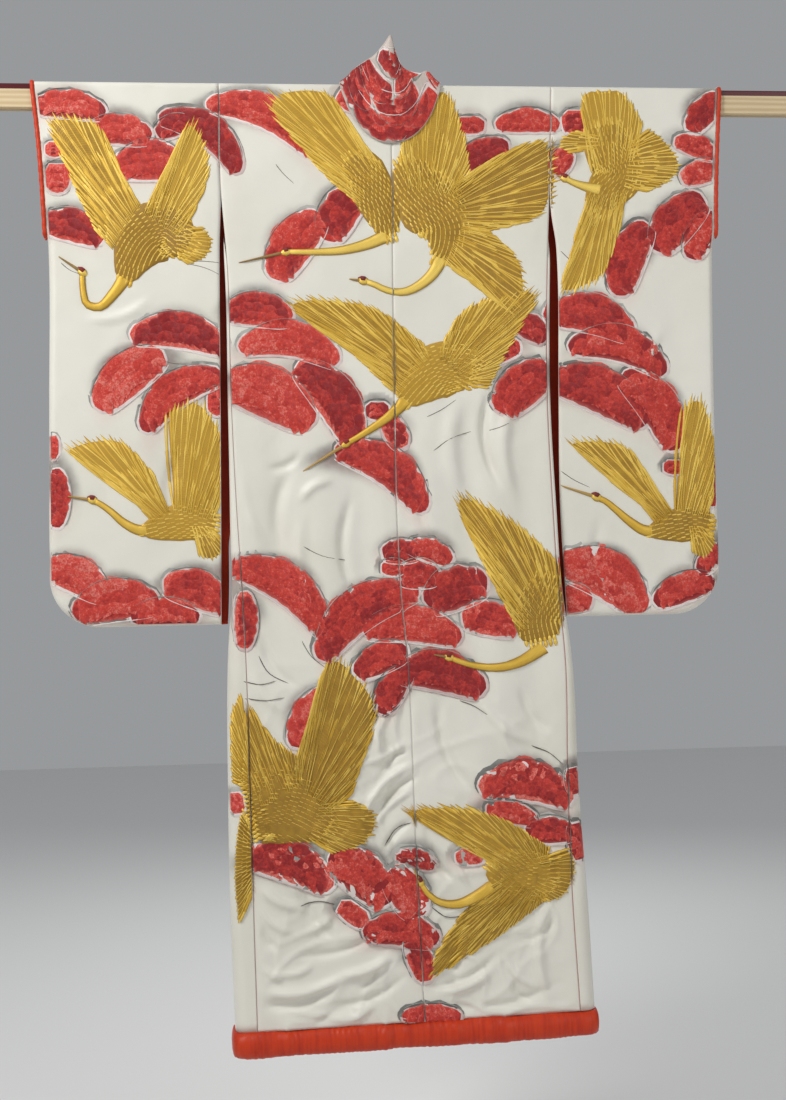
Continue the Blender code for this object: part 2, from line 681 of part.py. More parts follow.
def hem_border():
    """The cloth's edge from one front corner round to the other: (point, way out, half sizes)."""
    halves = {}
    for hand in (-1, 1):
        half = []
        for drop in OVERLAP_DROPS:
            if drop < ROLL_TOP_DROP or drop == HEM_DROP:
                continue
            size = mix(EDGE_ROLL_HALF, CORNER_ROLL_HALF, ease((drop - 1.3) / 0.4))
            half.append((Vector(overlap_row(hand, drop)[-1]), Vector((-hand, 0, 0)), size, size))
        foot = overlap_row(hand, HEM_DROP)[::-1]
        for point, lean, grow in zip(foot, (0.9, 0.5, 0.0), (0.1, 0.6, 1.0)):
            tall = mix(CORNER_ROLL_HALF, HEM_ROLL_HALF_HEIGHT, grow)
            thick = mix(CORNER_ROLL_HALF, HEM_ROLL_HALF_DEPTH, grow)
            half.append((Vector(point), Vector((-hand * lean, 0, -1)), tall, thick))
        front = body_row(hand, Station(1, HEM_DROP, 0))[::-1]
        back = body_row(hand, Station(-1, HEM_DROP, 0))
        for point in front + back[: len(back) - (hand < 0)]:
            half.append((Vector(point), Vector((0, 0, -1)), HEM_ROLL_HALF_HEIGHT, HEM_ROLL_HALF_DEPTH))
        halves[hand] = half
    return halves[-1] + halves[1][::-1]


def spaced_border(border, least):
    """The border without points that lie closer together than that."""
    kept = [border[0]]
    for entry in border[1:]:
        if (entry[0] - kept[-1][0]).length >= least:
            kept.append(entry)
    return kept


def roll_rings(border, sides, sink, lump=0.0):
    """Rings of a padded roll along a border. Its middle lies that far behind the outer face."""
    rings = []
    points = [entry[0] for entry in border]
    for k, (point, way_out, height, thick) in enumerate(border):
        tangent = points[min(k + 1, len(points) - 1)] - points[max(k - 1, 0)]
        way_out = (way_out - tangent * way_out.dot(tangent) / tangent.length_squared).normalized()
        across = way_out.cross(tangent).normalized()
        middle = point + across * sink
        swell = lump * math.sin(k * 1.7) * (1 if height > CORNER_ROLL_HALF else 0)
        tall = height + swell
        centre = middle + way_out * (tall + ROLL_GAP)
        ring = []
        for side in range(sides):
            turn = 2 * math.pi * side / sides
            up, aside = tall * math.cos(turn), (thick + swell) * math.sin(turn)
            ring.append(centre + way_out * up + across * aside)
        rings.append(ring)
    return rings


def build_hem_roll():
    border = spaced_border(hem_border(), ROLL_SPACING)
    return tube("hem_roll", roll_rings(border, ROLL_SIDES, -WALL / 2, ROLL_LUMP), RED_SILK)


def build_cuff_roll(hand):
    """The thin roll of lining round a sleeve's opening, over the rod from back to front."""
    stop = CUFF_DROP - CUFF_ROLL_STOP
    drops = [stop, 0.275, 0.235, 0.200, 0.130, 0.060, 0.026]
    back = [Station(-1, drop, 0) for drop in drops]
    front = [Station(1, drop, 0) for drop in reversed(drops)]
    border = []
    for station in back + shoulder_stations() + front:
        row = sleeve_row(hand, station)
        border.append((Vector(row[-1]), Vector((hand, 0, 0)), CUFF_ROLL_HALF_WIDTH, CUFF_ROLL_HALF_DEPTH))
    rings = roll_rings(border, CUFF_SIDES, 0.0)
    return tube(f"cuff_roll_{HAND_NAME[hand]}", rings, RED_SILK)


def build_rod():
    """A plain timber bar. Its top is a narrower strip, a small step back from the faces."""
    half, cap = ROD_THICKNESS / 2, ROD_THICKNESS / 2 - ROD_CAP_STEP
    shoulder = -ROD_CAP_HEIGHT
    round_off = ROD_EDGE_ROUND
    section = [
        (half - round_off, -ROD_HEIGHT), (half, -ROD_HEIGHT + round_off), (half, shoulder),
        (cap, shoulder), (cap, -round_off), (cap - round_off, 0),
    ]
    section += [(-y, z) for y, z in reversed(section)]
    rings = [[(x, y, z) for y, z in section] for x in (-ROD_LENGTH / 2, ROD_LENGTH / 2)]
    return tube("rod", rings, TIMBER)


build_rod()
build_collar()
build_hem_roll()
for hand in (-1, 1):
    build_shoulder(hand)
    build_back(hand)
    build_front(hand)
    build_side(hand)
    build_overlap(hand)
    build_sleeve(hand)
    build_cuff_roll(hand)
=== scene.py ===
# %% [markdown]
# # A wedding over-kimono on its rod
# An uchikake is the long padded robe that a bride wears open over her other layers. Here it
# hangs from a timber rod that runs through its sleeves, and we look at its back. The solids of
# the garment come from the CAD model. This lesson dresses them: each length of cloth is made
# again as a fine sheet, then creased, embroidered and given its finish.

import math
from collections import namedtuple

import bmesh
import bpy
import numpy as np
from mathutils import Matrix, Vector


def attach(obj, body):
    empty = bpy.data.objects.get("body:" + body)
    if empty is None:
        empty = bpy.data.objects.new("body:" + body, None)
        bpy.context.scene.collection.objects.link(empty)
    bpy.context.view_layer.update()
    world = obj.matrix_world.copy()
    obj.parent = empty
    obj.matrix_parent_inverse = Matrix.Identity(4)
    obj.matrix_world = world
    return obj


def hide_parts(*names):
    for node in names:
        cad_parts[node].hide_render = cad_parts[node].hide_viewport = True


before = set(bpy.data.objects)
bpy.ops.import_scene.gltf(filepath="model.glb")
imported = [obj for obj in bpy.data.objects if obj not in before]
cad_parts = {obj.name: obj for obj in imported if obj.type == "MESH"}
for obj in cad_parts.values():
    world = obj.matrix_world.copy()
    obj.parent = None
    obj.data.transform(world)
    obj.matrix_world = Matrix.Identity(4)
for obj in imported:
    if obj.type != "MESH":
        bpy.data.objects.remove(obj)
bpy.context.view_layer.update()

# %% [markdown]
# ## The camera
# The camera stands a little to the left of the garment's middle and is rolled by one degree.
# Working out its axes by hand, rather than with a constraint, also lets us go the other way:
# from a place in the photograph's frame to the place on the hanging cloth.

# %% Place the camera
PHOTO_WIDTH, PHOTO_HEIGHT = 786, 1100
FOCAL_PIXELS = 1684
CAMERA_DISTANCE = 3.2
CAMERA_YAW = math.radians(6)
CAMERA_ROLL = math.radians(1.07)
LOOK_AT = Vector((0, -0.02, -0.8835))
SENSOR_HEIGHT = 24

view_way = Vector((math.sin(CAMERA_YAW), math.cos(CAMERA_YAW), 0))
level_right = Vector((math.cos(CAMERA_YAW), -math.sin(CAMERA_YAW), 0))
level_up = Vector((0, 0, 1))
view_right = level_right * math.cos(CAMERA_ROLL) - level_up * math.sin(CAMERA_ROLL)
view_up = level_up * math.cos(CAMERA_ROLL) + level_right * math.sin(CAMERA_ROLL)
eye = LOOK_AT - view_way * CAMERA_DISTANCE

camera_data = bpy.data.cameras.new("camera")
camera_data.sensor_fit = "VERTICAL"
camera_data.sensor_height = SENSOR_HEIGHT
camera_data.lens = FOCAL_PIXELS / PHOTO_HEIGHT * SENSOR_HEIGHT
camera = bpy.data.objects.new("camera", camera_data)
axes = Matrix((view_right, view_up, -view_way)).transposed()
camera.matrix_world = Matrix.Translation(eye) @ axes.to_4x4()
bpy.context.scene.collection.objects.link(camera)
bpy.context.scene.camera = camera
print("lens", round(camera_data.lens, 2), "mm, eye at", [round(v, 3) for v in eye])

# %% [markdown]
# ## The room
# A plain room keeps the eye on the garment: soft light from a large panel at the front, a
# weaker one from the side so that the folds have a shaded flank, and a pale floor.

# %% Light the room and lay the floor
FLOOR_Z = -2.15
FLOOR_SIZE = 14.0
FLOOR_COLOUR = (0.78, 0.78, 0.77)
WALL_COLOUR = (0.62, 0.64, 0.66)

Lamp = namedtuple("Lamp", "name x y z size watts")
LAMPS = [
    Lamp("key", -2.3, -1.9, 1.3, 1.1, 92),
    Lamp("fill", 2.4, -2.8, 0.2, 2.4, 34),
    Lamp("behind", 0.6, 2.8, 0.8, 2.4, 40),
]

world = bpy.data.worlds.new("room")
world.use_nodes = True
world.node_tree.nodes["Background"].inputs["Color"].default_value = (*WALL_COLOUR, 1)
world.node_tree.nodes["Background"].inputs["Strength"].default_value = 0.50
bpy.context.scene.world = world
bpy.context.scene.view_settings.view_transform = "Standard"

for lamp in LAMPS:
    data = bpy.data.lights.new(lamp.name, "AREA")
    data.shape = "DISK"
    data.size = lamp.size
    data.energy = lamp.watts
    light = bpy.data.objects.new(lamp.name, data)
    place = Vector((lamp.x, lamp.y, lamp.z))
    aim = (Vector((0, 0, -0.85)) - place).to_track_quat("-Z", "Y")
    light.matrix_world = Matrix.Translation(place) @ aim.to_matrix().to_4x4()
    bpy.context.scene.collection.objects.link(light)

floor_mesh = bpy.data.meshes.new("floor")
bm = bmesh.new()
bmesh.ops.create_grid(bm, x_segments=2, y_segments=2, size=FLOOR_SIZE / 2)
bmesh.ops.translate(bm, vec=(0, 0, FLOOR_Z), verts=bm.verts)
bm.to_mesh(floor_mesh)
bm.free()
floor_finish = bpy.data.materials.new("pale_floor")
floor_finish.use_nodes = True
floor_finish.node_tree.nodes["Principled BSDF"].inputs["Base Color"].default_value = (*FLOOR_COLOUR, 1)
floor_finish.node_tree.nodes["Principled BSDF"].inputs["Roughness"].default_value = 0.6
floor_mesh.materials.append(floor_finish)
floor = bpy.data.objects.new("floor", floor_mesh)
bpy.context.scene.collection.objects.link(floor)
print("lamps:", len(LAMPS), "floor at", FLOOR_Z)

# %% [markdown]
# ## From the photograph's frame to the cloth
# Motifs and creases are easiest to name where we see them, by pixel. A line from the eye through
# a pixel meets the garment's plane at one place. We keep it as how far across it is, and how far
# it drops below the shoulder fold, which are the two measures that all the cloth is cut by.


# %% Pixel to cloth
GARMENT_PLANE_Y = -0.02
SHOULDER_Z = 0.0036


def on_cloth(px, py):
    """(across, drop) in metres of a place in the photograph's frame."""
    ray = view_way * FOCAL_PIXELS + view_right * (px - PHOTO_WIDTH / 2)
    ray += view_up * (PHOTO_HEIGHT / 2 - py)
    point = eye + ray * ((GARMENT_PLANE_Y - eye.y) / ray.y)
    return point.x, SHOULDER_Z - point.z


PIXEL = CAMERA_DISTANCE / FOCAL_PIXELS
print("one pixel is", round(PIXEL * 1000, 2), "mm;", "hem foot at", [round(v, 3) for v in on_cloth(400, 1030)])

# %% [markdown]
# ## Shader maths as expressions
# A procedural finish is a chain of small nodes. Wrapping a socket in a class with the usual
# operators keeps such a chain readable, so a mask is written as `1 - weave * 0.5`. Colours
# don't go through Math nodes, which would turn them grey, but through Mix nodes.


# %% A socket that does arithmetic
class Signal:
    """An output socket in a finish."""

    def __init__(self, finish, socket):
        self.finish, self.socket = finish, socket

    def maths(self, operation, *values):
        return self.finish.node("Math", {"operation": operation}, dict(enumerate(values)))

    def __add__(self, other):
        return self.maths("ADD", self, other)

    __radd__ = __add__

    def __sub__(self, other):
        return self.maths("SUBTRACT", self, other)

    def __rsub__(self, other):
        return self.maths("SUBTRACT", other, self)

    def __mul__(self, other):
        return self.maths("MULTIPLY", self, other)

    __rmul__ = __mul__


def socket_name(word):
    """specular_ior_level is the shader's socket Specular IOR Level."""
    return word.replace("_", " ").title().replace("Ior", "IOR")


class Finish:
    """A material, and the ways its nodes are made."""

    def __init__(self, name, **fixed):
        self.material = bpy.data.materials.new(name)
        self.material.use_nodes = True
        self.tree = self.material.node_tree
        self.shader = self.tree.nodes["Principled BSDF"]
        for socket, value in fixed.items():
            self.shader.inputs[socket_name(socket)].default_value = value

    def connect(self, value, socket):
        if isinstance(value, Signal):
            self.tree.links.new(value.socket, socket)
        else:
            socket.default_value = value

    def node(self, kind, settings=None, inputs=None, output=0):
        """One node: its type, then its settings, then its sockets' values or links."""
        made = self.tree.nodes.new("ShaderNode" + kind)
        for name, value in (settings or {}).items():
            setattr(made, name, value)
        for name, value in (inputs or {}).items():
            self.connect(value, made.inputs[name])
        return Signal(self, made.outputs[output])

    def feed(self, **signals):
        for socket, value in signals.items():
            self.connect(value, self.shader.inputs[socket_name(socket)])

    def noise(self, vector, scale, detail=2.0):
        return self.node("TexNoise", None, {"Vector": vector, "Scale": scale, "Detail": detail})

    def blend(self, share, one, other):
        """A colour between two colours."""
        one, other = [(*c, 1) if isinstance(c, tuple) else c for c in (one, other)]
        return self.node("Mix", {"data_type": "RGBA"}, {0: share, 6: one, 7: other}, 2)

    def step(self, value, low, high):
        """0 below low, 1 above high, and a smooth rise between."""
        return self.node("MapRange", {"interpolation_type": "SMOOTHSTEP"}, {"Value": value, "From Min": low, "From Max": high})

    def raised(self, height, distance, strength=1.0):
        """Lets the height, from 0 to 1, stand out by that distance in metres."""
        return self.node("Bump", None, {"Height": height, "Distance": distance, "Strength": strength})

    def attribute(self, name, output="Fac"):
        return self.node("Attribute", {"attribute_name": name}, None, output)

    def flat_place(self, scale=(1, 1, 1), turn=0.0):
        """The cloth's own flat measures, in metres, stretched and turned."""
        uv = self.node("UVMap", {"uv_map": "flat"})
        return self.node("Mapping", None, {"Vector": uv, "Scale": scale, "Rotation": (0, 0, turn)})


print("shader helpers ready")

# %% [markdown]
# ## The ivory satin
# Satin floats its warp threads over four or more wefts, so it is smooth, with a soft sheen and
# faint slanted lines where the bindings fall. This silk has yellowed unevenly. Round the pines a
# grey painted shade is laid on it, darker above each tuft, and a rose blush inside them. The shade
# and the blush come from attributes that are painted on the mesh below.

# %% Satin
IVORY = (0.73, 0.705, 0.625)
IVORY_AGED = (0.60, 0.565, 0.455)
SHADE_GREY = (0.13, 0.135, 0.125)
BLUSH = (0.80, 0.42, 0.36)
SATIN_THREADS_PER_METRE = 1500


def satin_finish():
    satin = Finish("ivory_satin", sheen_weight=0.25, sheen_roughness=0.45, specular_ior_level=0.45)
    place = satin.flat_place()
    age = satin.step(satin.noise(place, 3.1, 4.0), 0.35, 0.75)
    ground = satin.blend(age * 0.45, IVORY, IVORY_AGED)
    slant = satin.flat_place(scale=(SATIN_THREADS_PER_METRE, SATIN_THREADS_PER_METRE * 0.4, 1), turn=0.5)
    threads = satin.node("TexWave", {"bands_direction": "X"}, {"Vector": slant, "Scale": 0.16, "Distortion": 0.6}, "Fac")
    # Painted shade: a grey laid on the satin round each tuft, darker above it.
    shade_mask = satin.attribute("painted_shade") * (0.72 + 0.5 * satin.noise(place, 60.0, 3.0))
    shaded_satin = satin.blend(satin.step(shade_mask, 0.02, 1.1), ground, SHADE_GREY)
    painted = satin.blend(satin.step(satin.attribute("blush"), 0.0, 1.0) * 0.8, shaded_satin, BLUSH)
    satin.feed(base_color=painted, roughness=0.40 + 0.12 * threads, normal=satin.raised(threads, 0.00012, 0.5))
    return satin.material


IVORY_SATIN = satin_finish()
print("finish:", IVORY_SATIN.name)

# %% [markdown]
# ## The red silk
# The lining is a plain orange-red silk. At the hem it is rolled round cotton wadding and shows
# as a thick lip, drawn up into fine gathers across its length.

# %% Red silk
RED_SILK_COLOUR = (0.56, 0.038, 0.003)
RED_SILK_TONE_AND_SHADE = (0.36, 0.014, 0.003)


def red_silk_finish(name, gather_and_shade):
    silk = Finish(name, sheen_weight=0.10, sheen_roughness=0.35, specular_ior_level=0.35)
    place = silk.flat_place()
    soft = silk.step(silk.noise(place, 26.0, 3.0), 0.30, 0.75)
    across = silk.flat_place(scale=(9, 130, 1))
    pleats = silk.noise(across, 1.0, 2.0)
    fine = silk.flat_place(scale=(900, 900, 1))
    threads = silk.node("TexWave", {"bands_direction": "DIAGONAL"}, {"Vector": fine, "Scale": 0.3}, "Fac")
    # Painted shade: darker red in the troughs of the gathers, and the silk's own uneven tone besides.
    colour = silk.blend(silk.step(pleats, 0.62, 0.30) * gather_and_shade + soft * 0.25, RED_SILK_COLOUR, RED_SILK_TONE_AND_SHADE)
    height = pleats * gather_and_shade + threads * 0.08
    silk.feed(base_color=colour, roughness=0.42 + 0.15 * soft, normal=silk.raised(height, 0.0016, 0.7))
    return silk.material


RED_LINING = red_silk_finish("red_lining", 0.15)
RED_GATHERS = red_silk_finish("red_gathers", 0.45)
print("finishes:", RED_LINING.name, RED_GATHERS.name)

# %% [markdown]
# ## How the cloth hangs
# The garment's measures are tables of how far across, or how deep, each edge is at a given drop.
# A smooth curve through each table gives the edge anywhere between. These are the same measures
# that the solids were cut by, so the fine cloth lies where the solids do.

# %% The measures
HEM_DROP = 1.780
HEM_SLANT = 0.018
HEM_SLANT_START = 1.20
NECK_HALF, NECK_DROP, NECK_ROUND, NECK_FLARE = 0.085, 0.100, 1.6, 0.75
ARMHOLE_DROP, VENT_DROP = 0.200, 0.350
SHOULDER_ROUND, SHOULDER_DEPTH = 0.008, 0.0151
SHOULDER_FLAT = SHOULDER_DEPTH - SHOULDER_ROUND
SEAM_GAP = 0.0003
SLEEVE_DROP, SLEEVE_CORNER_ROUND, SLEEVE_EDGE_ROUND = 1.022, 0.095, 0.014
CUFF_DROP, CUFF_CLOSE = 0.310, 0.030

Outline = namedtuple("Outline", "drop centre left_seam left_fold right_seam right_fold")
OUTLINE = [
    Outline(0.000, 0.012, -0.3135, -0.3185, 0.3225, 0.3275),
    Outline(0.180, 0.012, -0.3140, -0.3190, 0.3170, 0.3220),
    Outline(0.350, 0.010, -0.3035, -0.3085, 0.3085, 0.3140),
    Outline(0.600, 0.008, -0.3010, -0.3070, 0.3030, 0.3090),
    Outline(0.800, 0.008, -0.2950, -0.3070, 0.3090, 0.3160),
    Outline(0.985, 0.014, -0.2860, -0.3090, 0.3180, 0.3265),
    Outline(1.080, 0.022, -0.2830, -0.3155, 0.3260, 0.3400),
    Outline(1.350, 0.030, -0.2790, -0.3205, 0.3270, 0.3520),
    Outline(1.550, 0.034, -0.2770, -0.3205, 0.3310, 0.3640),
    Outline(1.780, 0.042, -0.2740, -0.3150, 0.3420, 0.3740),
]

Depth = namedtuple("Depth", "drop back front sleeve")
DEPTH = [
    Depth(0.008, 0.0151, 0.0151, 0.0151),
    Depth(0.060, 0.0155, 0.0155, 0.0155),
    Depth(0.200, 0.0175, 0.0175, 0.0175),
    Depth(0.350, 0.0200, 0.0190, 0.0170),
    Depth(0.700, 0.0250, 0.0230, 0.0150),
    Depth(1.022, 0.0300, 0.0270, 0.0120),
    Depth(1.400, 0.0350, 0.0330, 0.0120),
    Depth(1.780, 0.0400, 0.0380, 0.0120),
]

Opening = namedtuple("Opening", "drop seam edge")
OPENING = [
    Opening(0.000, 0.085, 0.085),
    Opening(0.300, 0.094, 0.084),
    Opening(0.600, 0.120, 0.048),
    Opening(0.900, 0.140, 0.029),
    Opening(1.200, 0.150, 0.026),
    Opening(1.780, 0.160, 0.026),
]

Sleeve = namedtuple("Sleeve", "drop left_inner left_outer right_inner right_outer")
SLEEVE = [
    Sleeve(0.000, -0.3135, -0.6560, 0.3225, 0.6510),
    Sleeve(0.130, -0.3138, -0.6440, 0.3190, 0.6430),
    Sleeve(0.200, -0.3142, -0.6400, 0.3180, 0.6400),
    Sleeve(0.310, -0.3170, -0.6360, 0.3265, 0.6380),
    Sleeve(0.600, -0.3205, -0.6400, 0.3260, 0.6362),
    Sleeve(0.790, -0.3230, -0.6435, 0.3250, 0.6385),
    Sleeve(1.022, -0.3265, -0.6460, 0.3350, 0.6430),
]


def curve_through(table, name):
    """A smooth function of the drop, through the table's values of the named column."""
    at = np.array([row.drop for row in table])
    values = np.array([getattr(row, name) for row in table])
    slopes = np.gradient(values, at)

    def value(where):
        where = np.clip(where, at[0], at[-1])
        k = np.clip(np.searchsorted(at, where, side="right") - 1, 0, len(at) - 2)
        span = at[k + 1] - at[k]
        t = (where - at[k]) / span
        start = (1 + 2 * t) * (1 - t) ** 2 * values[k] + t * (1 - t) ** 2 * span * slopes[k]
        end = t * t * (3 - 2 * t) * values[k + 1] + t * t * (t - 1) * span * slopes[k + 1]
        return start + end

    return value


outline = {name: curve_through(OUTLINE, name) for name in Outline._fields[1:]}
depth = {name: curve_through(DEPTH, name) for name in Depth._fields[1:]}
opening = {name: curve_through(OPENING, name) for name in Opening._fields[1:]}
sleeve_edge = {name: curve_through(SLEEVE, name) for name in Sleeve._fields[1:]}
HAND_NAME = {-1: "left", 1: "right"}
print("back across at the waist:", round(float(outline["right_seam"](0.6) - outline["left_seam"](0.6)), 3), "m")


# %% [markdown]
# ## Folds and creases
# A hung robe shows two kinds of relief. Long soft folds fall from the shoulders, and short crisp
# creases were pressed in when it was stored folded. Both are listed: a fold by its upper
# end and lean, a crease by its two ends as seen. Each stands out as a rounded ridge, or sinks as
# a trough, and dies away at its ends.

# %% Long folds
Fold = namedtuple("Fold", "side across drop length lean width rise")
FOLDS = [
    Fold(-1, 0.075, 0.50, 0.75, -0.02, 0.030, 0.0065),
    Fold(-1, 0.135, 0.48, 0.80, 0.03, 0.026, -0.0060),
    Fold(-1, 0.190, 0.52, 0.80, 0.02, 0.030, 0.0060),
    Fold(-1, 0.255, 0.62, 0.75, 0.03, 0.026, -0.0045),
    Fold(-1, -0.075, 0.60, 0.60, 0.06, 0.028, -0.0055),
    Fold(-1, -0.150, 0.52, 0.80, 0.05, 0.034, 0.0060),
    Fold(-1, -0.215, 0.55, 0.60, -0.02, 0.028, -0.0045),
    Fold(-1, 0.020, 1.10, 0.42, -0.16, 0.022, -0.0070),
    Fold(-1, -0.060, 1.12, 0.45, -0.10, 0.024, 0.0060),
    Fold(-1, 0.130, 1.08, 0.60, 0.12, 0.034, 0.0060),
    Fold(-1, 0.250, 1.15, 0.55, 0.06, 0.030, -0.0050),
    Fold(-1, -0.180, 1.35, 0.42, 0.08, 0.036, -0.0060),
    Fold(-1, -0.480, 0.30, 0.60, 0.02, 0.040, 0.0035),
    Fold(-1, -0.400, 0.35, 0.55, -0.02, 0.030, -0.0035),
    Fold(-1, 0.460, 0.30, 0.60, 0.03, 0.040, 0.0035),
    Fold(-1, 0.560, 0.30, 0.55, 0.02, 0.032, -0.0030),
    Fold(1, -0.200, 0.40, 1.20, -0.01, 0.032, 0.0055),
    Fold(1, 0.215, 0.45, 1.15, 0.01, 0.032, 0.0055),
    Fold(1, -0.110, 1.02, 0.70, -0.03, 0.024, -0.0045),
    Fold(1, 0.165, 1.02, 0.70, 0.05, 0.024, -0.0045),
    Fold(1, -0.490, 0.30, 0.60, -0.02, 0.040, 0.0035),
    Fold(1, 0.500, 0.30, 0.60, 0.02, 0.040, 0.0035),
]
FOLD_EDGE_FADE = 0.035


def mix(a, b, share):
    return a + (b - a) * share


def ease(share):
    """0 to 1 with no slope at either end."""
    share = np.clip(share, 0.0, 1.0)
    return share * share * (3 - 2 * share)


# %% Short creases, by their ends as seen
Crease = namedtuple("Crease", "px0 py0 px1 py1 width rise")
CREASES = [
    Crease(405, 750, 382, 770, 0.006, -0.0022),
    Crease(412, 762, 360, 820, 0.007, 0.0030),
    Crease(416, 776, 378, 812, 0.006, -0.0026),
    Crease(410, 790, 376, 822, 0.006, 0.0024),
    Crease(410, 820, 383, 852, 0.007, -0.0026),
    Crease(395, 850, 422, 853, 0.006, 0.0020),
    Crease(428, 852, 452, 878, 0.007, -0.0020),
    Crease(265, 988, 345, 972, 0.009, 0.0032),
    Crease(345, 972, 388, 954, 0.009, 0.0030),
    Crease(258, 1000, 330, 986, 0.009, -0.0026),
    Crease(360, 1007, 316, 1018, 0.007, -0.0022),
    Crease(332, 1016, 371, 1004, 0.006, 0.0022),
    Crease(262, 925, 276, 946, 0.007, -0.0024),
    Crease(262, 962, 281, 974, 0.006, 0.0022),
    Crease(257, 882, 302, 906, 0.008, 0.0024),
    Crease(360, 986, 376, 969, 0.006, -0.0022),
    Crease(440, 989, 488, 970, 0.008, 0.0026),
    Crease(510, 980, 526, 1001, 0.007, -0.0022),
    Crease(545, 905, 547, 1000, 0.010, 0.0026),
    Crease(488, 395, 497, 482, 0.009, -0.0034),
    Crease(458, 400, 462, 498, 0.018, 0.0026),
    Crease(511, 400, 514, 500, 0.014, 0.0024),
    Crease(350, 500, 352, 592, 0.010, -0.0022),
    Crease(385, 712, 379, 756, 0.008, 0.0024),
    Crease(437, 704, 471, 791, 0.010, -0.0026),
    Crease(300, 520, 330, 640, 0.013, 0.0020),
    Crease(270, 470, 300, 455, 0.008, -0.0018),
    Crease(330, 480, 300, 500, 0.008, 0.0018),
    Crease(100, 640, 130, 690, 0.010, 0.0018),
    Crease(180, 450, 172, 520, 0.010, -0.0016),
    Crease(90, 320, 150, 300, 0.008, 0.0014),
    Crease(600, 520, 612, 600, 0.011, -0.0016),
    Crease(660, 330, 652, 400, 0.011, 0.0016),
    Crease(620, 620, 680, 612, 0.009, 0.0016),
    Crease(480, 700, 530, 742, 0.009, 0.0020),
    Crease(300, 880, 335, 940, 0.011, -0.0022),
    Crease(470, 910, 455, 985, 0.012, -0.0024),
    Crease(300, 952, 376, 930, 0.007, -0.0020),
    Crease(308, 930, 332, 912, 0.006, 0.0018),
    Crease(330, 1002, 402, 976, 0.007, -0.0020),
    Crease(285, 1004, 372, 1000, 0.007, 0.0016),
    Crease(430, 986, 496, 954, 0.007, -0.0020),
    Crease(440, 1002, 556, 984, 0.008, -0.0018),
    Crease(504, 958, 532, 986, 0.006, 0.0018),
    Crease(520, 942, 552, 920, 0.007, -0.0018),
    Crease(462, 1000, 524, 1006, 0.006, 0.0018),
    Crease(386, 878, 368, 902, 0.006, -0.0018),
    Crease(402, 788, 380, 816, 0.006, -0.0018),
    Crease(360, 762, 404, 742, 0.006, 0.0016),
    Crease(425, 828, 452, 880, 0.007, -0.0018),
    Crease(455, 846, 468, 884, 0.006, 0.0016),
    Crease(402, 862, 442, 872, 0.006, -0.0016),
    Crease(376, 700, 392, 752, 0.008, -0.0018),
    Crease(398, 700, 402, 760, 0.008, 0.0016),
    Crease(262, 640, 300, 690, 0.009, -0.0018),
    Crease(250, 668, 282, 712, 0.008, 0.0016),
    Crease(240, 470, 262, 540, 0.012, 0.0016),
    Crease(290, 470, 280, 545, 0.012, -0.0018),
    Crease(420, 505, 436, 545, 0.010, -0.0016),
    Crease(520, 690, 548, 730, 0.009, -0.0016),
    Crease(500, 720, 520, 764, 0.009, 0.0014),
    Crease(256, 900, 290, 930, 0.007, 0.0020),
    Crease(276, 970, 312, 962, 0.006, 0.0018),
]
CREASE_DEPTH = 3.7
CREASE_REACH = 0.05
crease_lines = [(on_cloth(c.px0, c.py0), on_cloth(c.px1, c.py1), c.width, c.rise * CREASE_DEPTH) for c in CREASES]


def crease_relief(x, drop):
    """How far the short creases stand out, from their nearest point on the line."""
    total = np.zeros(np.broadcast(x, drop).shape)
    low_x, high_x, low_drop, high_drop = np.min(x), np.max(x), np.min(drop), np.max(drop)
    for (x0, d0), (x1, d1), width, rise in crease_lines:
        if min(x0, x1) > high_x + CREASE_REACH or max(x0, x1) < low_x - CREASE_REACH:
            continue
        if min(d0, d1) > high_drop + CREASE_REACH or max(d0, d1) < low_drop - CREASE_REACH:
            continue
        length = math.hypot(x1 - x0, d1 - d0)
        ux, ud = (x1 - x0) / length, (d1 - d0) / length
        along = ((x - x0) * ux + (drop - d0) * ud) / length
        bow = 0.10 * length * np.sin(math.pi * np.clip(along, 0, 1))
        aside = (x - x0) * ud - (drop - d0) * ux + bow
        ends = ease((along + 0.15) / 0.45) * ease((1.15 - along) / 0.45)
        total += rise * np.exp(-((aside / width) ** 2)) * ends
    return total


def undulation(x, drop, seed):
    """The slow unevenness of padded cloth."""
    waves = np.sin(x * 31 + seed + 2.3 * np.sin(drop * 6.1 + seed)) * np.sin(drop * 17 + seed * 1.7)
    ripples = np.sin(x * 74 + drop * 21 + seed * 2.1) * np.sin(drop * 43 - x * 17 + seed)
    return 0.0008 * waves + 0.00035 * ripples


CRUMPLE_RISE = 0.0075


def crumple(x, drop):
    """Small slanted wrinkles near the foot, where the padding has slumped."""
    warp = 0.5 * np.sin(x * 27 + 2.0 * np.sin(drop * 19)) + 0.35 * np.sin(drop * 41 - x * 17)
    slanted = 1 - np.abs(np.sin(drop * 50 + x * 23 + 2.2 * warp))
    steep = 1 - np.abs(np.sin(x * 47 - drop * 19 + 2.6 * warp + 1.1))
    patchy = ease(0.5 + 0.7 * np.sin(x * 13 + drop * 9 + 1.0) * np.sin(drop * 14 - x * 5))
    return (0.65 * slanted**2 * (1 - patchy) + 0.55 * steep**2 * patchy) * (0.10 + 0.90 * ease((drop - 1.0) / 0.5))


def relief(side, x, drop, fade_from):
    """How far all the folds stand out of the cloth there. They die away at a side edge."""
    total = undulation(x, drop, 1.0 + side) + CRUMPLE_RISE * crumple(x, drop)
    for fold in FOLDS:
        if fold.side == side:
            along = (drop - fold.drop) / fold.length
            offset = (x - fold.across - fold.lean * along * fold.length) / fold.width
            total = total + fold.rise * np.exp(-offset * offset) * np.sin(math.pi * np.clip(along, 0, 1))
    if side < 0:
        total = total + crease_relief(x, drop)
    return total * ease(np.abs(x - fade_from) / FOLD_EDGE_FADE)


print("folds:", len(FOLDS), "creases:", len(CREASES))

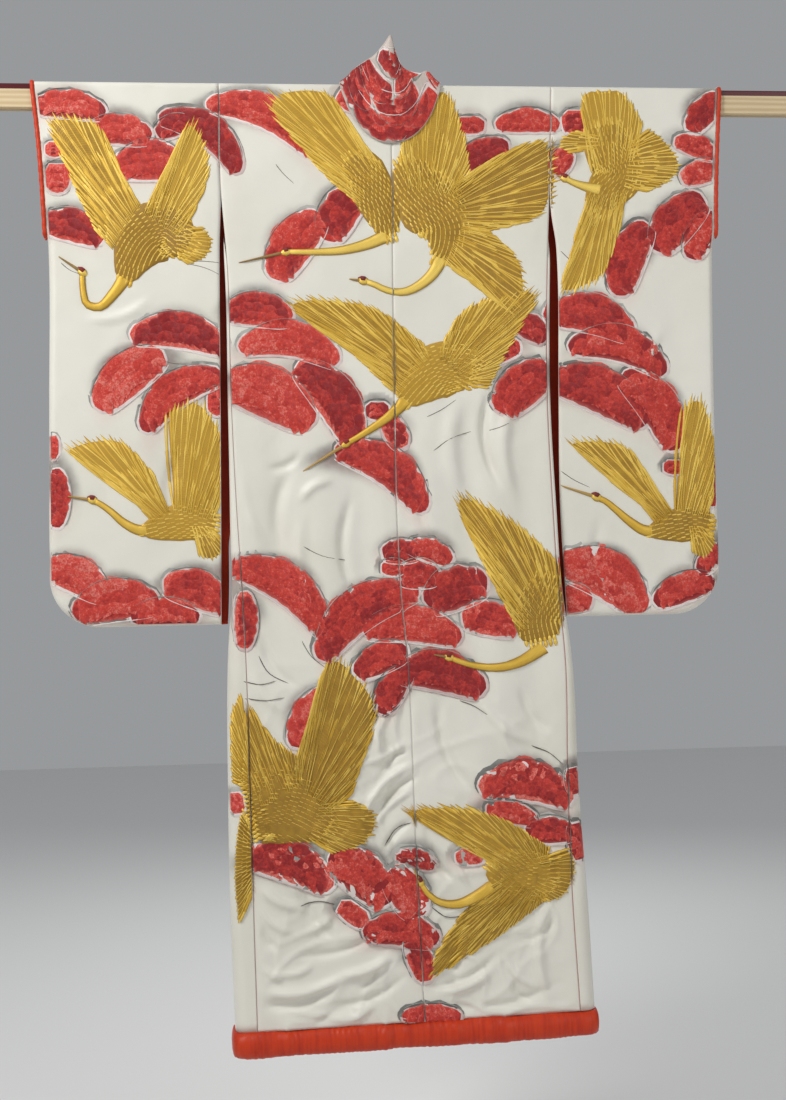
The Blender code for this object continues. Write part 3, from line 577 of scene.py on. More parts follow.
# %% [markdown]
# ## Turning a length of cloth over the rod
# A station is one row across the cloth: on the back wall, on the rounded fold over the rod, or
# on the front. There is no seam at the shoulder, so a length of cloth is one run of stations
# from hem to hem. The rows are closer where the neck is cut out and where the cloth bends.

# %% Stations along a length
Station = namedtuple("Station", "side drop turn")
FOLD_TURNS = range(0, 91, 10)
NECK_STATIONS = [0.0999, 0.0996, 0.099, 0.098, 0.0965, 0.0945, 0.092, 0.089, 0.085, 0.080]


def wall_stations(side, drops):
    return [Station(side, float(drop), 0) for drop in drops]


def fold_stations():
    back = [Station(-1, SHOULDER_ROUND, turn) for turn in FOLD_TURNS]
    return back + [Station(1, station.drop, station.turn) for station in reversed(back)]


def hem_lift(x, drop):
    """The hem rises towards the right, and the cloth above it a little with it."""
    return HEM_SLANT * x * ease((drop - HEM_SLANT_START) / (HEM_DROP - HEM_SLANT_START))


def over_rod(station, out, lift=0.0):
    """(y, z) of a wall that hangs, or turns over the rod, with its outer face that far out."""
    if station.turn:
        turn = math.radians(station.turn)
        radius = SHOULDER_ROUND + lift
        y = station.side * (SHOULDER_FLAT + radius * math.cos(turn))
        return y, SHOULDER_Z - SHOULDER_ROUND + radius * math.sin(turn)
    return station.side * (out + lift), SHOULDER_Z - station.drop


def neck_half(drop):
    if drop >= NECK_DROP:
        return 0.0
    return NECK_HALF * (1 - (drop / NECK_DROP) ** NECK_ROUND) ** NECK_FLARE


print("fold stations:", len(fold_stations()))

# %% [markdown]
# ## A sheet from a grid
# Each length of cloth starts as Blender's own grid, flat, and every vertex is then moved to its
# place on the hanging surface. The grid's flat measures are kept as the UV map, in metres, so
# that weave and stitches follow the cloth. A Solidify modifier gives the sheet its wall inwards,
# and the inner side gets the red lining.

# %% Sheet helper
CLOTH_WALL = 0.0022


def move_grid(bm, rows):
    """A grid whose vertices lie on rows of points, with a UV map of its flat measures."""
    points = np.array(rows, float)
    count, width = points.shape[:2]
    bmesh.ops.create_grid(bm, x_segments=width - 1, y_segments=count - 1, size=1)
    bm.verts.ensure_lookup_table()
    flat = bm.loops.layers.uv.new("flat")
    along = np.concatenate([[0], np.cumsum(np.linalg.norm(np.diff(points[:, width // 2], axis=0), axis=1))])
    across = np.concatenate([np.zeros((count, 1)), np.cumsum(np.linalg.norm(np.diff(points, axis=1), axis=2), axis=1)], axis=1)
    for index, place in enumerate(points.reshape(-1, 3)):
        bm.verts[index].co = place
    for face in bm.faces:
        for loop in face.loops:
            row, column = divmod(loop.vert.index, width)
            loop[flat].uv = (across[row, column], along[row])
    return points


def sheet_object(name, rows, finishes, wall=CLOTH_WALL, weld=False, flip=False):
    bm = bmesh.new()
    move_grid(bm, rows)
    if flip:
        bmesh.ops.reverse_faces(bm, faces=bm.faces)
    if weld:
        bmesh.ops.remove_doubles(bm, verts=bm.verts, dist=1e-5)
    mesh = bpy.data.meshes.new(name)
    bm.to_mesh(mesh)
    bm.free()
    mesh.shade_smooth()
    for finish in finishes:
        mesh.materials.append(finish)
    piece = bpy.data.objects.new(name, mesh)
    bpy.context.scene.collection.objects.link(piece)
    if wall:
        solid = piece.modifiers.new("wall", "SOLIDIFY")
        solid.thickness, solid.offset = wall, -1
        solid.material_offset = len(finishes) - 1
        solid.material_offset_rim = len(finishes) - 1
    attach(piece, "root")
    print(name, len(mesh.vertices), "vertices", len(mesh.polygons), "faces")
    return piece


# %% [markdown]
# ## The body lengths
# Each half of the body is one length of cloth, from the back hem over the shoulder to the front
# hem. On the back it runs from the side seam to the centre seam. The front is wider than it
# looks: a strip of it wraps round the side and shows from behind.

# %% Body rows
BODY_COLUMNS = 84
WRAP_SHARE = 8 / 12
SIDE_ROUND_MOST = 0.026
SIDE_STRIP_LEAST = 0.001
EDGE_CLUSTER = 0.0025
BACK_STEP = 0.0052
FRONT_STEP = 0.018
SEAM_DIP = 0.0010
SEAM_DIP_WIDTH = 0.004


def seam_dip(distance):
    """Cloth sinks a little where it is sewn."""
    return -SEAM_DIP * np.exp(-((distance / SEAM_DIP_WIDTH) ** 2))


def back_out(x, drop):
    """How far out the back's outer face is."""
    left, right = outline["left_seam"](drop), outline["right_seam"](drop)
    centre = outline["centre"](drop)
    fade_from = np.where(x < centre, left, right)
    out = depth["back"](drop) + relief(-1, x, drop, fade_from)
    hanging = ease((drop - 0.008) / 0.03)
    return out + hanging * (seam_dip(x - centre) * ease((drop - 0.1) / 0.02) + seam_dip(x - fade_from))


def front_columns(hand, drop):
    """(x, y) across a front, from its side seam on the back round to its inner edge."""
    seam_name, fold_name = HAND_NAME[hand] + "_seam", HAND_NAME[hand] + "_fold"
    centre = outline["centre"](drop)
    outer = outline[seam_name](min(drop, ARMHOLE_DROP)) - hand * SEAM_GAP / 2
    inner = centre + hand * (opening["seam"](drop) + SEAM_GAP / 2)
    out, back = depth["front"](drop), depth["back"](drop)
    share = np.linspace(0, 1, BODY_COLUMNS + 1)
    cluster = ease(drop / ARMHOLE_DROP)
    strip_end = outer - hand * EDGE_CLUSTER * 8
    on_strip = mix(outer, strip_end, share / WRAP_SHARE)
    near = np.where(share < WRAP_SHARE, on_strip, mix(strip_end, inner, (share - WRAP_SHARE) / (1 - WRAP_SHARE)))
    x, y = mix(mix(outer, inner, share), near, cluster), np.full(len(share), out)
    wrapped = ease((drop - ARMHOLE_DROP) / (VENT_DROP - ARMHOLE_DROP))
    if not wrapped:
        return x, y
    seam, fold = outline[seam_name](drop) + hand * SEAM_GAP / 2, outline[fold_name](drop)
    radius = min(abs(fold - seam) - SIDE_STRIP_LEAST, SIDE_ROUND_MOST)
    eighth = share / WRAP_SHARE * 8
    turn = np.radians(np.where(eighth < 4, np.clip(4 - eighth, 0, 3) * 30, np.clip(eighth - 5, 0, 3) * 30))
    round_x = fold - hand * radius * (1 - np.cos(turn))
    round_y = np.where(eighth <= 4, -back + radius * (1 - np.sin(turn)), out - radius * (1 - np.sin(turn)))
    on_side = (eighth > 4) & (eighth < 5)
    round_y = np.where(on_side, mix(-back + radius, out - radius, eighth - 4), round_y)
    strip = eighth < 1
    round_x = np.where(strip, mix(seam, round_x[np.argmax(eighth >= 1)], eighth), round_x)
    flat_start = fold - hand * radius
    round_x = np.where(share > WRAP_SHARE, mix(flat_start, inner, (share - WRAP_SHARE) / (1 - WRAP_SHARE)), round_x)
    round_y = np.where(share > WRAP_SHARE, out, round_y)
    return mix(x, round_x, wrapped), mix(y, round_y, wrapped)


def body_row(hand, station):
    drop, seam_name = station.drop, HAND_NAME[hand] + "_seam"
    if station.side > 0 and not station.turn:
        x, y = front_columns(hand, drop)
        share = np.linspace(0, 1, BODY_COLUMNS + 1)
        y = y + relief(1, x, drop, outline[seam_name](drop)) * ease((share - WRAP_SHARE) / 0.08)
        return np.column_stack([x, y, SHOULDER_Z - drop + hem_lift(x, drop)])
    outer = outline[seam_name](drop) - hand * SEAM_GAP / 2
    neck = neck_half(drop) if not station.turn and station.side < 0 else NECK_HALF
    inner = outline["centre"](drop) + hand * (neck + SEAM_GAP / 2)
    x = np.linspace(outer, inner, BODY_COLUMNS + 1)
    y, z = over_rod(station, back_out(x, drop))
    return np.column_stack([x, np.broadcast_to(y, x.shape), np.broadcast_to(z, x.shape) + hem_lift(x, drop)])


# %% Make the body lengths
back_drops = np.concatenate([
    np.arange(HEM_DROP, NECK_DROP + 0.004, -BACK_STEP), [NECK_DROP], NECK_STATIONS,
    np.arange(0.075, 0.010, -0.005),
])
front_drops = np.concatenate([np.arange(0.014, 0.35, 0.010), np.arange(0.36, HEM_DROP, FRONT_STEP), [HEM_DROP]])
body_pieces = {}
for hand in (-1, 1):
    stations = wall_stations(-1, back_drops) + fold_stations() + wall_stations(1, front_drops)
    rows = [body_row(hand, station) for station in stations]
    name = HAND_NAME[hand]
    piece = sheet_object(f"body_length_{name}", rows, [IVORY_SATIN, RED_LINING], flip=hand > 0)
    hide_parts(f"shoulder_{name}", f"back_{name}", f"front_{name}", f"side_{name}")
    body_pieces[hand] = piece

# %% [markdown]
# ## The sleeves
# A sleeve is one length folded over the rod, sewn to itself at the foot and up the outer edge
# as far as the wrist opening. Below the armhole it hangs free of the body. The front layer
# reaches in a little behind the body, so no light shows in the gap.

# %% Sleeve rows
SLEEVE_COLUMNS = 60
BEHIND_LIFT, BEHIND_RAMP, BEHIND_RUN = 0.0060, 0.035, 0.070
BEHIND_REACH, BEHIND_REACH_START, BEHIND_REACH_END = 0.024, 0.222, 0.300
BEHIND_FOOT_START, BEHIND_FOOT_RUN, BEHIND_FADE, BEHIND_CLEAR = 0.230, 0.090, 0.050, 0.003
SOLID_WALL = 0.003


def rounded(distance):
    share = np.clip(distance / SLEEVE_EDGE_ROUND, 0.0, 1.0)
    return np.sqrt(np.maximum(0.0, 1 - (1 - share) ** 2))


def sleeve_limits(hand, drop):
    """The inner edge, the outer edge, and the outer edge with its round lower corner."""
    name = HAND_NAME[hand]
    free_share = ease((drop - ARMHOLE_DROP) / (CUFF_DROP - ARMHOLE_DROP))
    armhole = outline[name + "_seam"](np.minimum(drop, ARMHOLE_DROP))
    inner = mix(armhole, sleeve_edge[name + "_inner"](drop), free_share) + hand * SEAM_GAP / 2
    outer = sleeve_edge[name + "_outer"](drop)
    below = np.maximum(0.0, drop - (SLEEVE_DROP - SLEEVE_CORNER_ROUND))
    cut = SLEEVE_CORNER_ROUND - np.sqrt(np.maximum(0.0, SLEEVE_CORNER_ROUND**2 - below**2))
    return inner, outer, outer - hand * cut


def sleeve_closing(hand, x, drop, outer):
    """1 where the two layers stand apart, falling to 0 at the sewn edge."""
    radius = SLEEVE_CORNER_ROUND
    beyond = hand * (x - (outer - hand * radius))
    below = drop - (SLEEVE_DROP - radius)
    corner = rounded(radius - np.hypot(beyond, below))
    open_share = ease((CUFF_DROP - drop) / CUFF_CLOSE)
    straight = np.minimum(mix(rounded(np.abs(x - outer)), 1.0, open_share), rounded(SLEEVE_DROP - drop))
    return np.where((beyond > 0) & (below > 0), corner, straight)


def sleeve_out(hand, side, x, drop):
    """How far out that layer's outer face is."""
    inner, outer, _ = sleeve_limits(hand, drop)
    out = depth["sleeve"](drop) + relief(side, x, drop, inner)
    out = (out + 0.6 * seam_dip(x - inner)) * sleeve_closing(hand, x, drop, outer)
    if side < 0:
        return out
    behind = ease((drop - ARMHOLE_DROP) / BEHIND_RAMP) * ease((SLEEVE_DROP - drop) / BEHIND_FADE)
    body = depth["front"](drop) + SOLID_WALL + BEHIND_LIFT * 0.4
    near = ease(1 - np.maximum(0.0, hand * (x - inner)) / BEHIND_RUN)
    return mix(out, np.maximum(out, body), near * behind)


def sleeve_row(hand, station):
    drop = station.drop
    inner, _, edge = sleeve_limits(hand, drop)
    share = 1 - (1 - np.linspace(0, 1, SLEEVE_COLUMNS + 1)) ** 1.35
    x = mix(inner, edge, share)
    if station.side > 0 and not station.turn and drop < SLEEVE_DROP:
        reach = BEHIND_REACH * ease((drop - BEHIND_REACH_START) / (BEHIND_REACH_END - BEHIND_REACH_START))
        slit = abs(inner - outline[HAND_NAME[hand] + "_fold"](drop))
        near_foot = ease((drop - SLEEVE_DROP + BEHIND_FOOT_START) / BEHIND_FOOT_RUN)
        reach = mix(reach, max(0.0, slit - BEHIND_CLEAR), near_foot)
        x = x - hand * reach * np.clip(1 - share * 6, 0, 1)
    out = 0.0 if station.turn else sleeve_out(hand, station.side, x, drop)
    y, z = over_rod(station, out)
    return np.column_stack([x, np.broadcast_to(y, x.shape), np.broadcast_to(z, x.shape)])


# %% Make the sleeves
corner_drops = SLEEVE_DROP - SLEEVE_CORNER_ROUND * (1 - np.sin(np.radians(np.arange(90, -1, -6))))
wall_drops = np.arange(0.922, 0.010, -0.0064)
sleeve_drops = np.concatenate([corner_drops, wall_drops])
sleeve_pieces = {}
for hand in (-1, 1):
    stations = wall_stations(-1, sleeve_drops) + fold_stations() + wall_stations(1, sleeve_drops[::-1])
    rows = [sleeve_row(hand, station) for station in stations]
    name = HAND_NAME[hand]
    piece = sheet_object(f"sleeve_cloth_{name}", rows, [IVORY_SATIN, RED_LINING], weld=True, flip=hand < 0)
    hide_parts(f"sleeve_{name}")
    sleeve_pieces[hand] = piece

# %% [markdown]
# ## The front overlap panels
# Down each front edge a narrower panel is sewn on, so that the front can overlap when worn. Its
# lower inner corner is rounded. From behind it is hidden, so it is made plainly.

# %% Make the overlap panels
OVERLAP_COLUMNS = 18
FRONT_CORNER_ROUND = 0.045
OVERLAP_TOP_DROP = 0.315


def corner_lift(distance, drop):
    """How far the lower inner corner is rounded up, by the distance from the edge."""
    radius = FRONT_CORNER_ROUND
    inside = np.minimum(distance, radius)
    full = radius - np.sqrt(radius**2 - (radius - inside) ** 2)
    return full * ease((drop - HEM_DROP + 3 * radius) / (3 * radius))


def overlap_row(hand, drop):
    centre = outline["centre"](drop)
    outer = centre + hand * (opening["seam"](drop) - SEAM_GAP / 2)
    edge = centre + hand * opening["edge"](drop)
    share = 1 - (1 - np.linspace(0, 1, OVERLAP_COLUMNS + 1)) ** 1.4
    x = mix(outer, edge, share)
    y = depth["front"](drop) + relief(1, x, drop, outline[HAND_NAME[hand] + "_seam"](drop))
    z = SHOULDER_Z - drop + hem_lift(x, drop) + corner_lift(np.abs(x - edge), drop)
    return np.column_stack([x, y, z])


overlap_drops = np.concatenate([
    np.arange(OVERLAP_TOP_DROP, HEM_DROP - 0.06, 0.014), np.arange(HEM_DROP - 0.06, HEM_DROP, 0.005),
    [HEM_DROP],
])
overlap_pieces = {}
for hand in (-1, 1):
    rows = [overlap_row(hand, drop) for drop in overlap_drops]
    name = HAND_NAME[hand]
    piece = sheet_object(f"overlap_cloth_{name}", rows, [IVORY_SATIN, RED_LINING], flip=hand > 0)
    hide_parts(f"overlap_{name}")
    overlap_pieces[hand] = piece

# %% [markdown]
# ## The collar band
# The collar is one long band, folded double and lightly padded. It is sewn round the neck and
# down both fronts. Behind the neck its free edge stands up and a little back, and tips over
# unevenly. Each section is a line from the seam to the free edge, swept along the band. The
# band is of the robe's own satin, and is embroidered later, so it gets the satin's finish.

# %% Make the collar
COLLAR_WALL = 0.004
COLLAR_LIFT = 0.0012 + COLLAR_WALL
COLLAR_COLUMNS = 20
COLLAR_STEPS = 10
COLLAR_END_DROP = 0.950

Collar = namedtuple("Collar", "drop seam left_free left_free_z right_free right_free_z free_depth")
COLLAR_BACK = [
    Collar(0.114, 0.000, 0.000, 0.091, 0.000, 0.091, 0.0360),
    Collar(0.109, 0.026, 0.013, 0.076, 0.008, 0.066, 0.0300),
    Collar(0.090, 0.054, 0.031, 0.056, 0.017, 0.042, 0.0255),
    Collar(0.060, 0.076, 0.050, 0.044, 0.032, 0.028, 0.0225),
    Collar(0.026, 0.090, 0.065, 0.034, 0.048, 0.021, 0.0205),
]
Crossing = namedtuple("Crossing", "side turn free free_y free_z")
COLLAR_FRONT_OUTER = 0.096
COLLAR_CROSSING = [
    Crossing(-1, 0, 0.070, -0.0200, 0.0290),
    Crossing(-1, 45, 0.073, -0.0140, 0.0240),
    Crossing(-1, 90, 0.074, -0.0060, 0.0200),
    Crossing(1, 90, 0.070, 0.0060, 0.0180),
    Crossing(1, 45, 0.062, 0.0155, 0.0120),
    Crossing(1, 0, 0.050, 0.0203, 0.0000),
]
Front = namedtuple("Front", "drop outer free")
COLLAR_FRONT = [
    Front(0.040, 0.0950, 0.034),
    Front(0.090, 0.0955, 0.024),
    Front(0.160, 0.0960, 0.020),
    Front(0.300, 0.0960, 0.018),
    Front(0.450, 0.0960, 0.017),
    Front(0.600, 0.0960, 0.016),
    Front(0.780, 0.0960, 0.015),
    Front(COLLAR_END_DROP, 0.0960, 0.014),
]


def collar_sections():
    """(seam point, free point) of each section, from the left front's end round to the right's."""
    halves = {}
    for hand in (-1, 1):
        name, half = HAND_NAME[hand], []
        for row in COLLAR_BACK:
            centre = float(outline["centre"](row.drop))
            y, z = over_rod(Station(-1, row.drop, 0), float(depth["back"](row.drop)), COLLAR_LIFT)
            free = (centre + hand * getattr(row, name + "_free"), -row.free_depth, getattr(row, name + "_free_z"))
            half.append(((centre + hand * row.seam, y, z), free))
        centre = float(outline["centre"](0.0))
        for row in COLLAR_CROSSING:
            y, z = over_rod(Station(row.side, SHOULDER_ROUND, row.turn), SHOULDER_DEPTH, COLLAR_LIFT)
            half.append(((centre + hand * COLLAR_FRONT_OUTER, y, z), (centre + hand * row.free, row.free_y, row.free_z)))
        for row in COLLAR_FRONT:
            centre = float(outline["centre"](row.drop))
            y, z = over_rod(Station(1, row.drop, 0), float(depth["front"](row.drop)), COLLAR_LIFT)
            half.append(((centre + hand * row.outer, y, z), (centre + hand * row.free, y, z)))
        halves[hand] = half
    return halves[-1][:0:-1] + halves[1]


def smoothed(points, steps):
    """Points of a smooth curve through the given ones, with so many steps between two."""
    points = [Vector(point) for point in points]
    found = []
    for k in range(len(points) - 1):
        before, after = points[max(k - 1, 0)], points[min(k + 2, len(points) - 1)]
        here, there = points[k], points[k + 1]
        span = (there - here).length
        out_slope = (there - before) * span / max((there - here).length + (here - before).length, 1e-9)
        in_slope = (after - here) * span / max((after - there).length + (there - here).length, 1e-9)
        for step in range(steps):
            t = step / steps
            start = here * ((1 + 2 * t) * (1 - t) ** 2) + out_slope * (t * (1 - t) ** 2)
            found.append(start + there * (t * t * (3 - 2 * t)) + in_slope * (t * t * (t - 1)))
    return found + [points[-1]]


sections = collar_sections()
seams = smoothed([seam for seam, _ in sections], COLLAR_STEPS)
frees = smoothed([free for _, free in sections], COLLAR_STEPS)
rows = []
for k, (seam, free) in enumerate(zip(seams, frees)):
    row = [seam.lerp(free, c / COLLAR_COLUMNS) for c in range(COLLAR_COLUMNS + 1)]
    rows.append(row)
collar = sheet_object("collar_band", rows, [IVORY_SATIN], wall=0.0034, flip=True)
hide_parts("collar")

# %% [markdown]
# ## The padded rolls
# At the hem the lining is rolled round wadding as thick as a thumb, which helps the robe trail.
# It runs from one front corner, round the whole hem, to the other. A thin roll of the same
# lining edges each wrist opening. A roll is a grid too: one way runs along the border, and the
# other way goes round and is welded to itself.

# %% Roll helper
HEM_ROLL_HALF_HEIGHT, HEM_ROLL_HALF_DEPTH = 0.0240, 0.0165
EDGE_ROLL_HALF, CORNER_ROLL_HALF = 0.0070, 0.0090
ROLL_GAP, ROLL_TOP_DROP = 0.0005, 0.960
ROLL_SIDES = 16
HEM_STEP = 0.0026
CUFF_ROLL_HALF_WIDTH, CUFF_ROLL_HALF_DEPTH, CUFF_ROLL_STOP = 0.0040, 0.0030, 0.016


def even_border(border, step):
    """The border's values at even steps along it."""
    values = np.array([[*point, *way, tall, thick] for point, way, tall, thick in border], float)
    reach = np.concatenate([[0], np.cumsum(np.linalg.norm(np.diff(values[:, :3], axis=0), axis=1))])
    keep = np.concatenate([[True], np.diff(reach) > 1e-7])
    at = np.linspace(0, reach[-1], int(reach[-1] / step) + 1)
    return at, np.column_stack([np.interp(at, reach[keep], column[keep]) for column in values.T])


def softened(values, reach):
    """A running mean along the border, which rounds its corners."""
    kernel = np.hanning(2 * reach + 1)
    kernel /= kernel.sum()
    padded = np.concatenate([np.repeat(values[:1], reach, 0), values, np.repeat(values[-1:], reach, 0)])
    return np.column_stack([np.convolve(column, kernel, "valid") for column in padded.T])


def roll_rows(border, step, sides, sink, swell):
    """Rings of a roll. swell gives how much thicker it is, by its place along and round."""
    at, values = even_border(border, step)
    points, way = values[:, :3], softened(values[:, 3:6], 6)
    tall, thick = values[:, 6], values[:, 7]
    tangent = np.gradient(points, axis=0)
    tangent = softened(tangent / np.linalg.norm(tangent, axis=1)[:, None], 4)
    tangent /= np.linalg.norm(tangent, axis=1)[:, None]
    way -= tangent * (way * tangent).sum(1)[:, None]
    way /= np.linalg.norm(way, axis=1)[:, None]
    across = np.cross(way, tangent)
    turn = 2 * math.pi * np.arange(sides + 1) / sides
    ends = np.sqrt(np.clip(1 - (1 - np.minimum(at, at[-1] - at) / 0.010), 0, 1))[:, None]
    grow = swell(at[:, None], turn[None, :])
    up = (tall[:, None] + grow) * np.cos(turn) * ends
    aside = (thick[:, None] + grow) * np.sin(turn) * ends
    centre = points + across * sink + way * (tall + ROLL_GAP)[:, None]
    return centre[:, None, :] + way[:, None, :] * up[..., None] + across[:, None, :] * aside[..., None]


def roll_object(name, rows, finish, node):
    bm = bmesh.new()
    move_grid(bm, rows)
    bmesh.ops.remove_doubles(bm, verts=bm.verts, dist=1e-5)
    bmesh.ops.recalc_face_normals(bm, faces=bm.faces)
    mesh = bpy.data.meshes.new(name)
    bm.to_mesh(mesh)
    bm.free()
    mesh.shade_smooth()
    mesh.materials.append(finish)
    piece = bpy.data.objects.new(name, mesh)
    bpy.context.scene.collection.objects.link(piece)
    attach(piece, "root")
    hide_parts(node)
    print(name, len(mesh.vertices), "vertices")
    return piece


# %% Make the hem roll
def hem_swell(at, turn):
    """Slow lumps where the wadding bunches, and the gathers of the silk."""
    lumps = 0.0011 * np.sin(at * 23 + 1.5 * np.sin(at * 9)) + 0.0007 * np.sin(at * 57)
    wander = 6 * np.sin(at * 13) + 2.2 * np.sin(turn + at * 31)
    gathers = 0.00065 * np.sin(at * 2 * math.pi / 0.0125 + wander * 2) + 0.0003 * np.sin(at * 2 * math.pi / 0.0083 - wander * 3)
    return lumps + gathers * (0.4 + 0.6 * np.sin(at * 37) ** 2)


def hem_border():
    """The cloth's edge from one front corner round to the other: (point, way out, half sizes)."""
    halves = {}
    for hand in (-1, 1):
        half = []
        for drop in np.append(np.arange(ROLL_TOP_DROP, HEM_DROP - 0.004, 0.006), HEM_DROP - 0.004):
            size = mix(EDGE_ROLL_HALF, CORNER_ROLL_HALF, float(ease((drop - 1.3) / 0.4)))
            half.append((overlap_row(hand, drop)[-1], (-hand, 0, 0), size, size))
        foot = overlap_row(hand, HEM_DROP)[::-1]
        for k, point in enumerate(foot):
            grow = float(ease(np.linalg.norm(point - foot[0]) / 0.050))
            tall = mix(CORNER_ROLL_HALF, HEM_ROLL_HALF_HEIGHT, grow)
            half.append((point, (-hand * 0.9 * (1 - grow), 0, -1), tall, mix(CORNER_ROLL_HALF, HEM_ROLL_HALF_DEPTH, grow)))
        front = body_row(hand, Station(1, HEM_DROP, 0))[::-1]
        back = body_row(hand, Station(-1, HEM_DROP, 0))
        for point in np.concatenate([front, back]):
            half.append((point, (0, 0, -1), HEM_ROLL_HALF_HEIGHT, HEM_ROLL_HALF_DEPTH))
        halves[hand] = half
    return halves[-1] + halves[1][::-1]


HEM_END_BEYOND, HEM_END_SQUEEZE = 0.002, 0.35
rows = roll_rows(hem_border(), HEM_STEP, ROLL_SIDES, -CLOTH_WALL / 2, hem_swell)
left_end, right_end = outline["left_fold"](HEM_DROP) - HEM_END_BEYOND, outline["right_fold"](HEM_DROP) + HEM_END_BEYOND
rows[..., 0] = np.where(rows[..., 0] < left_end, left_end + (rows[..., 0] - left_end) * HEM_END_SQUEEZE, rows[..., 0])
rows[..., 0] = np.where(rows[..., 0] > right_end, right_end + (rows[..., 0] - right_end) * HEM_END_SQUEEZE, rows[..., 0])
hem_roll = roll_object("hem_padding", rows, RED_GATHERS, "hem_roll")


# %% Make the cuff rolls
def cuff_swell(at, turn):
    return 0.0003 * np.sin(at * 2 * math.pi / 0.021 + turn) + 0.0002 * np.sin(at * 2 * math.pi / 0.009)


for hand in (-1, 1):
    stop = CUFF_DROP - CUFF_ROLL_STOP
    drops = np.arange(stop, 0.012, -0.006)
    stations = wall_stations(-1, drops) + fold_stations() + wall_stations(1, drops[::-1])
    border = [(sleeve_row(hand, s)[-1], (hand, 0, 0), CUFF_ROLL_HALF_WIDTH, CUFF_ROLL_HALF_DEPTH) for s in stations]
    rows = roll_rows(border, 0.003, 10, 0.0, cuff_swell)
    name = HAND_NAME[hand]
    roll_object(f"cuff_padding_{name}", rows, RED_LINING, f"cuff_roll_{name}")

# %% [markdown]
# ## The rod
# The rod is a plain planed timber bar whose top is a narrow strip, lacquered dark red. The
# solid's shape is right as it is, so it only gets a finish: growth rings stretched along the
# bar for the grain, and the lacquer wherever the surface is above the step.

# %% Rod finish
LACQUER_EDGE_Z = -0.0112


def rod_finish():
    timber = Finish("rod_timber", specular_ior_level=0.4)
    place = timber.node("TexCoord", None, None, "Object")
    height = timber.node("SeparateXYZ", None, {"Vector": place}, 2)
    stretched = timber.node("Mapping", None, {"Vector": place, "Scale": (1.3, 26, 26)})
    waves = {"Vector": stretched, "Scale": 1.1, "Distortion": 5.0, "Detail": 3.0}
    rings = timber.node("TexWave", {"bands_direction": "Z"}, waves, "Fac")
    pores = timber.noise(timber.node("Mapping", None, {"Vector": place, "Scale": (9, 420, 420)}), 1.0, 3.0)
    grain = timber.blend(rings * 0.55 + pores * 0.3, (0.66, 0.53, 0.33), (0.44, 0.31, 0.16))
    lacquer = timber.step(height, LACQUER_EDGE_Z - 0.0003, LACQUER_EDGE_Z + 0.0003)
    red = timber.blend(timber.noise(place, 14.0, 3.0), (0.105, 0.006, 0.010), (0.060, 0.004, 0.006))
    timber.feed(
        base_color=timber.blend(lacquer, grain, red), roughness=0.58 - 0.26 * lacquer,
        normal=timber.raised(pores * (1 - lacquer), 0.0004, 0.6),
    )
    return timber.material


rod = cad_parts["rod"]
for slot in rod.material_slots:
    slot.material = rod_finish()
print("rod slots:", len(rod.material_slots))

# %% [markdown]
# ## Panels that carry embroidery
# The embroidery is worked after the lengths are sewn, so a crane crosses a seam. Each stitched
# patch is laid out flat, as across and drop, and then set down on every panel that it reaches.
# A panel knows its two edges at a drop and how far out its face is, so a patch lies on the folds.
# The collar is a panel of its own kind: a patch on it is laid out along the band and up from
# its seam, because the band turns round the neck.

# %% Panels
PANEL_TOP_DROP = 0.0006
PANEL_EDGE = 0.0012
Panel = namedtuple("Panel", "name side limits out foot lifted reach")


def round_top(drop):
    """How far out the cloth is where it turns over the rod."""
    above = np.clip(SHOULDER_ROUND - drop, 0, SHOULDER_ROUND)
    return SHOULDER_FLAT + np.sqrt(SHOULDER_ROUND**2 - above**2)


def back_face(x, drop):
    return np.where(drop < SHOULDER_ROUND, round_top(drop), back_out(x, drop))


def sleeve_face(hand, side):
    def out(x, drop):
        return np.where(drop < SHOULDER_ROUND, round_top(drop), sleeve_out(hand, side, x, drop))
    return out


def strip_face(hand):
    """The strip of a front that wraps round the side, as it shows from behind."""
    def out(x, drop):
        seam, fold = outline[HAND_NAME[hand] + "_seam"](drop), outline[HAND_NAME[hand] + "_fold"](drop)
        radius = np.minimum(np.abs(fold - seam) - SIDE_STRIP_LEAST, SIDE_ROUND_MOST)
        beyond = np.clip(hand * (x - (fold - hand * radius)), 0, radius)
        return depth["back"](drop) - radius + np.sqrt(radius**2 - beyond**2)
    return out


def front_face(hand):
    def out(x, drop):
        seam = outline[HAND_NAME[hand] + "_seam"](drop)
        flat = depth["front"](drop) + relief(1, x, drop, seam)
        return np.where(drop < SHOULDER_ROUND, round_top(drop), flat)
    return out


def between(one, other):
    def limits(drop):
        a, b = one(drop), other(drop)
        return np.minimum(a, b) + PANEL_EDGE, np.maximum(a, b) - PANEL_EDGE
    return limits


def neck_edge(hand):
    """The edge of a back along the centre seam and round the neck hole."""
    def edge(drop):
        share = np.clip(drop, 0, NECK_DROP) / NECK_DROP
        return outline["centre"](drop) + hand * NECK_HALF * np.maximum(0, 1 - share**NECK_ROUND) ** NECK_FLARE
    return edge


def side_seam(hand):
    return outline[HAND_NAME[hand] + "_seam"]


def strip_edge(hand):
    """The outermost part of the strip that still faces the back."""
    def edge(drop):
        seam, fold = outline[HAND_NAME[hand] + "_seam"](drop), outline[HAND_NAME[hand] + "_fold"](drop)
        return np.where(drop > 0.7, seam + 0.93 * (fold - seam), seam)
    return edge


def front_edge(hand):
    def edge(drop):
        return outline["centre"](drop) + hand * (opening["edge"](drop) + 0.004)
    return edge


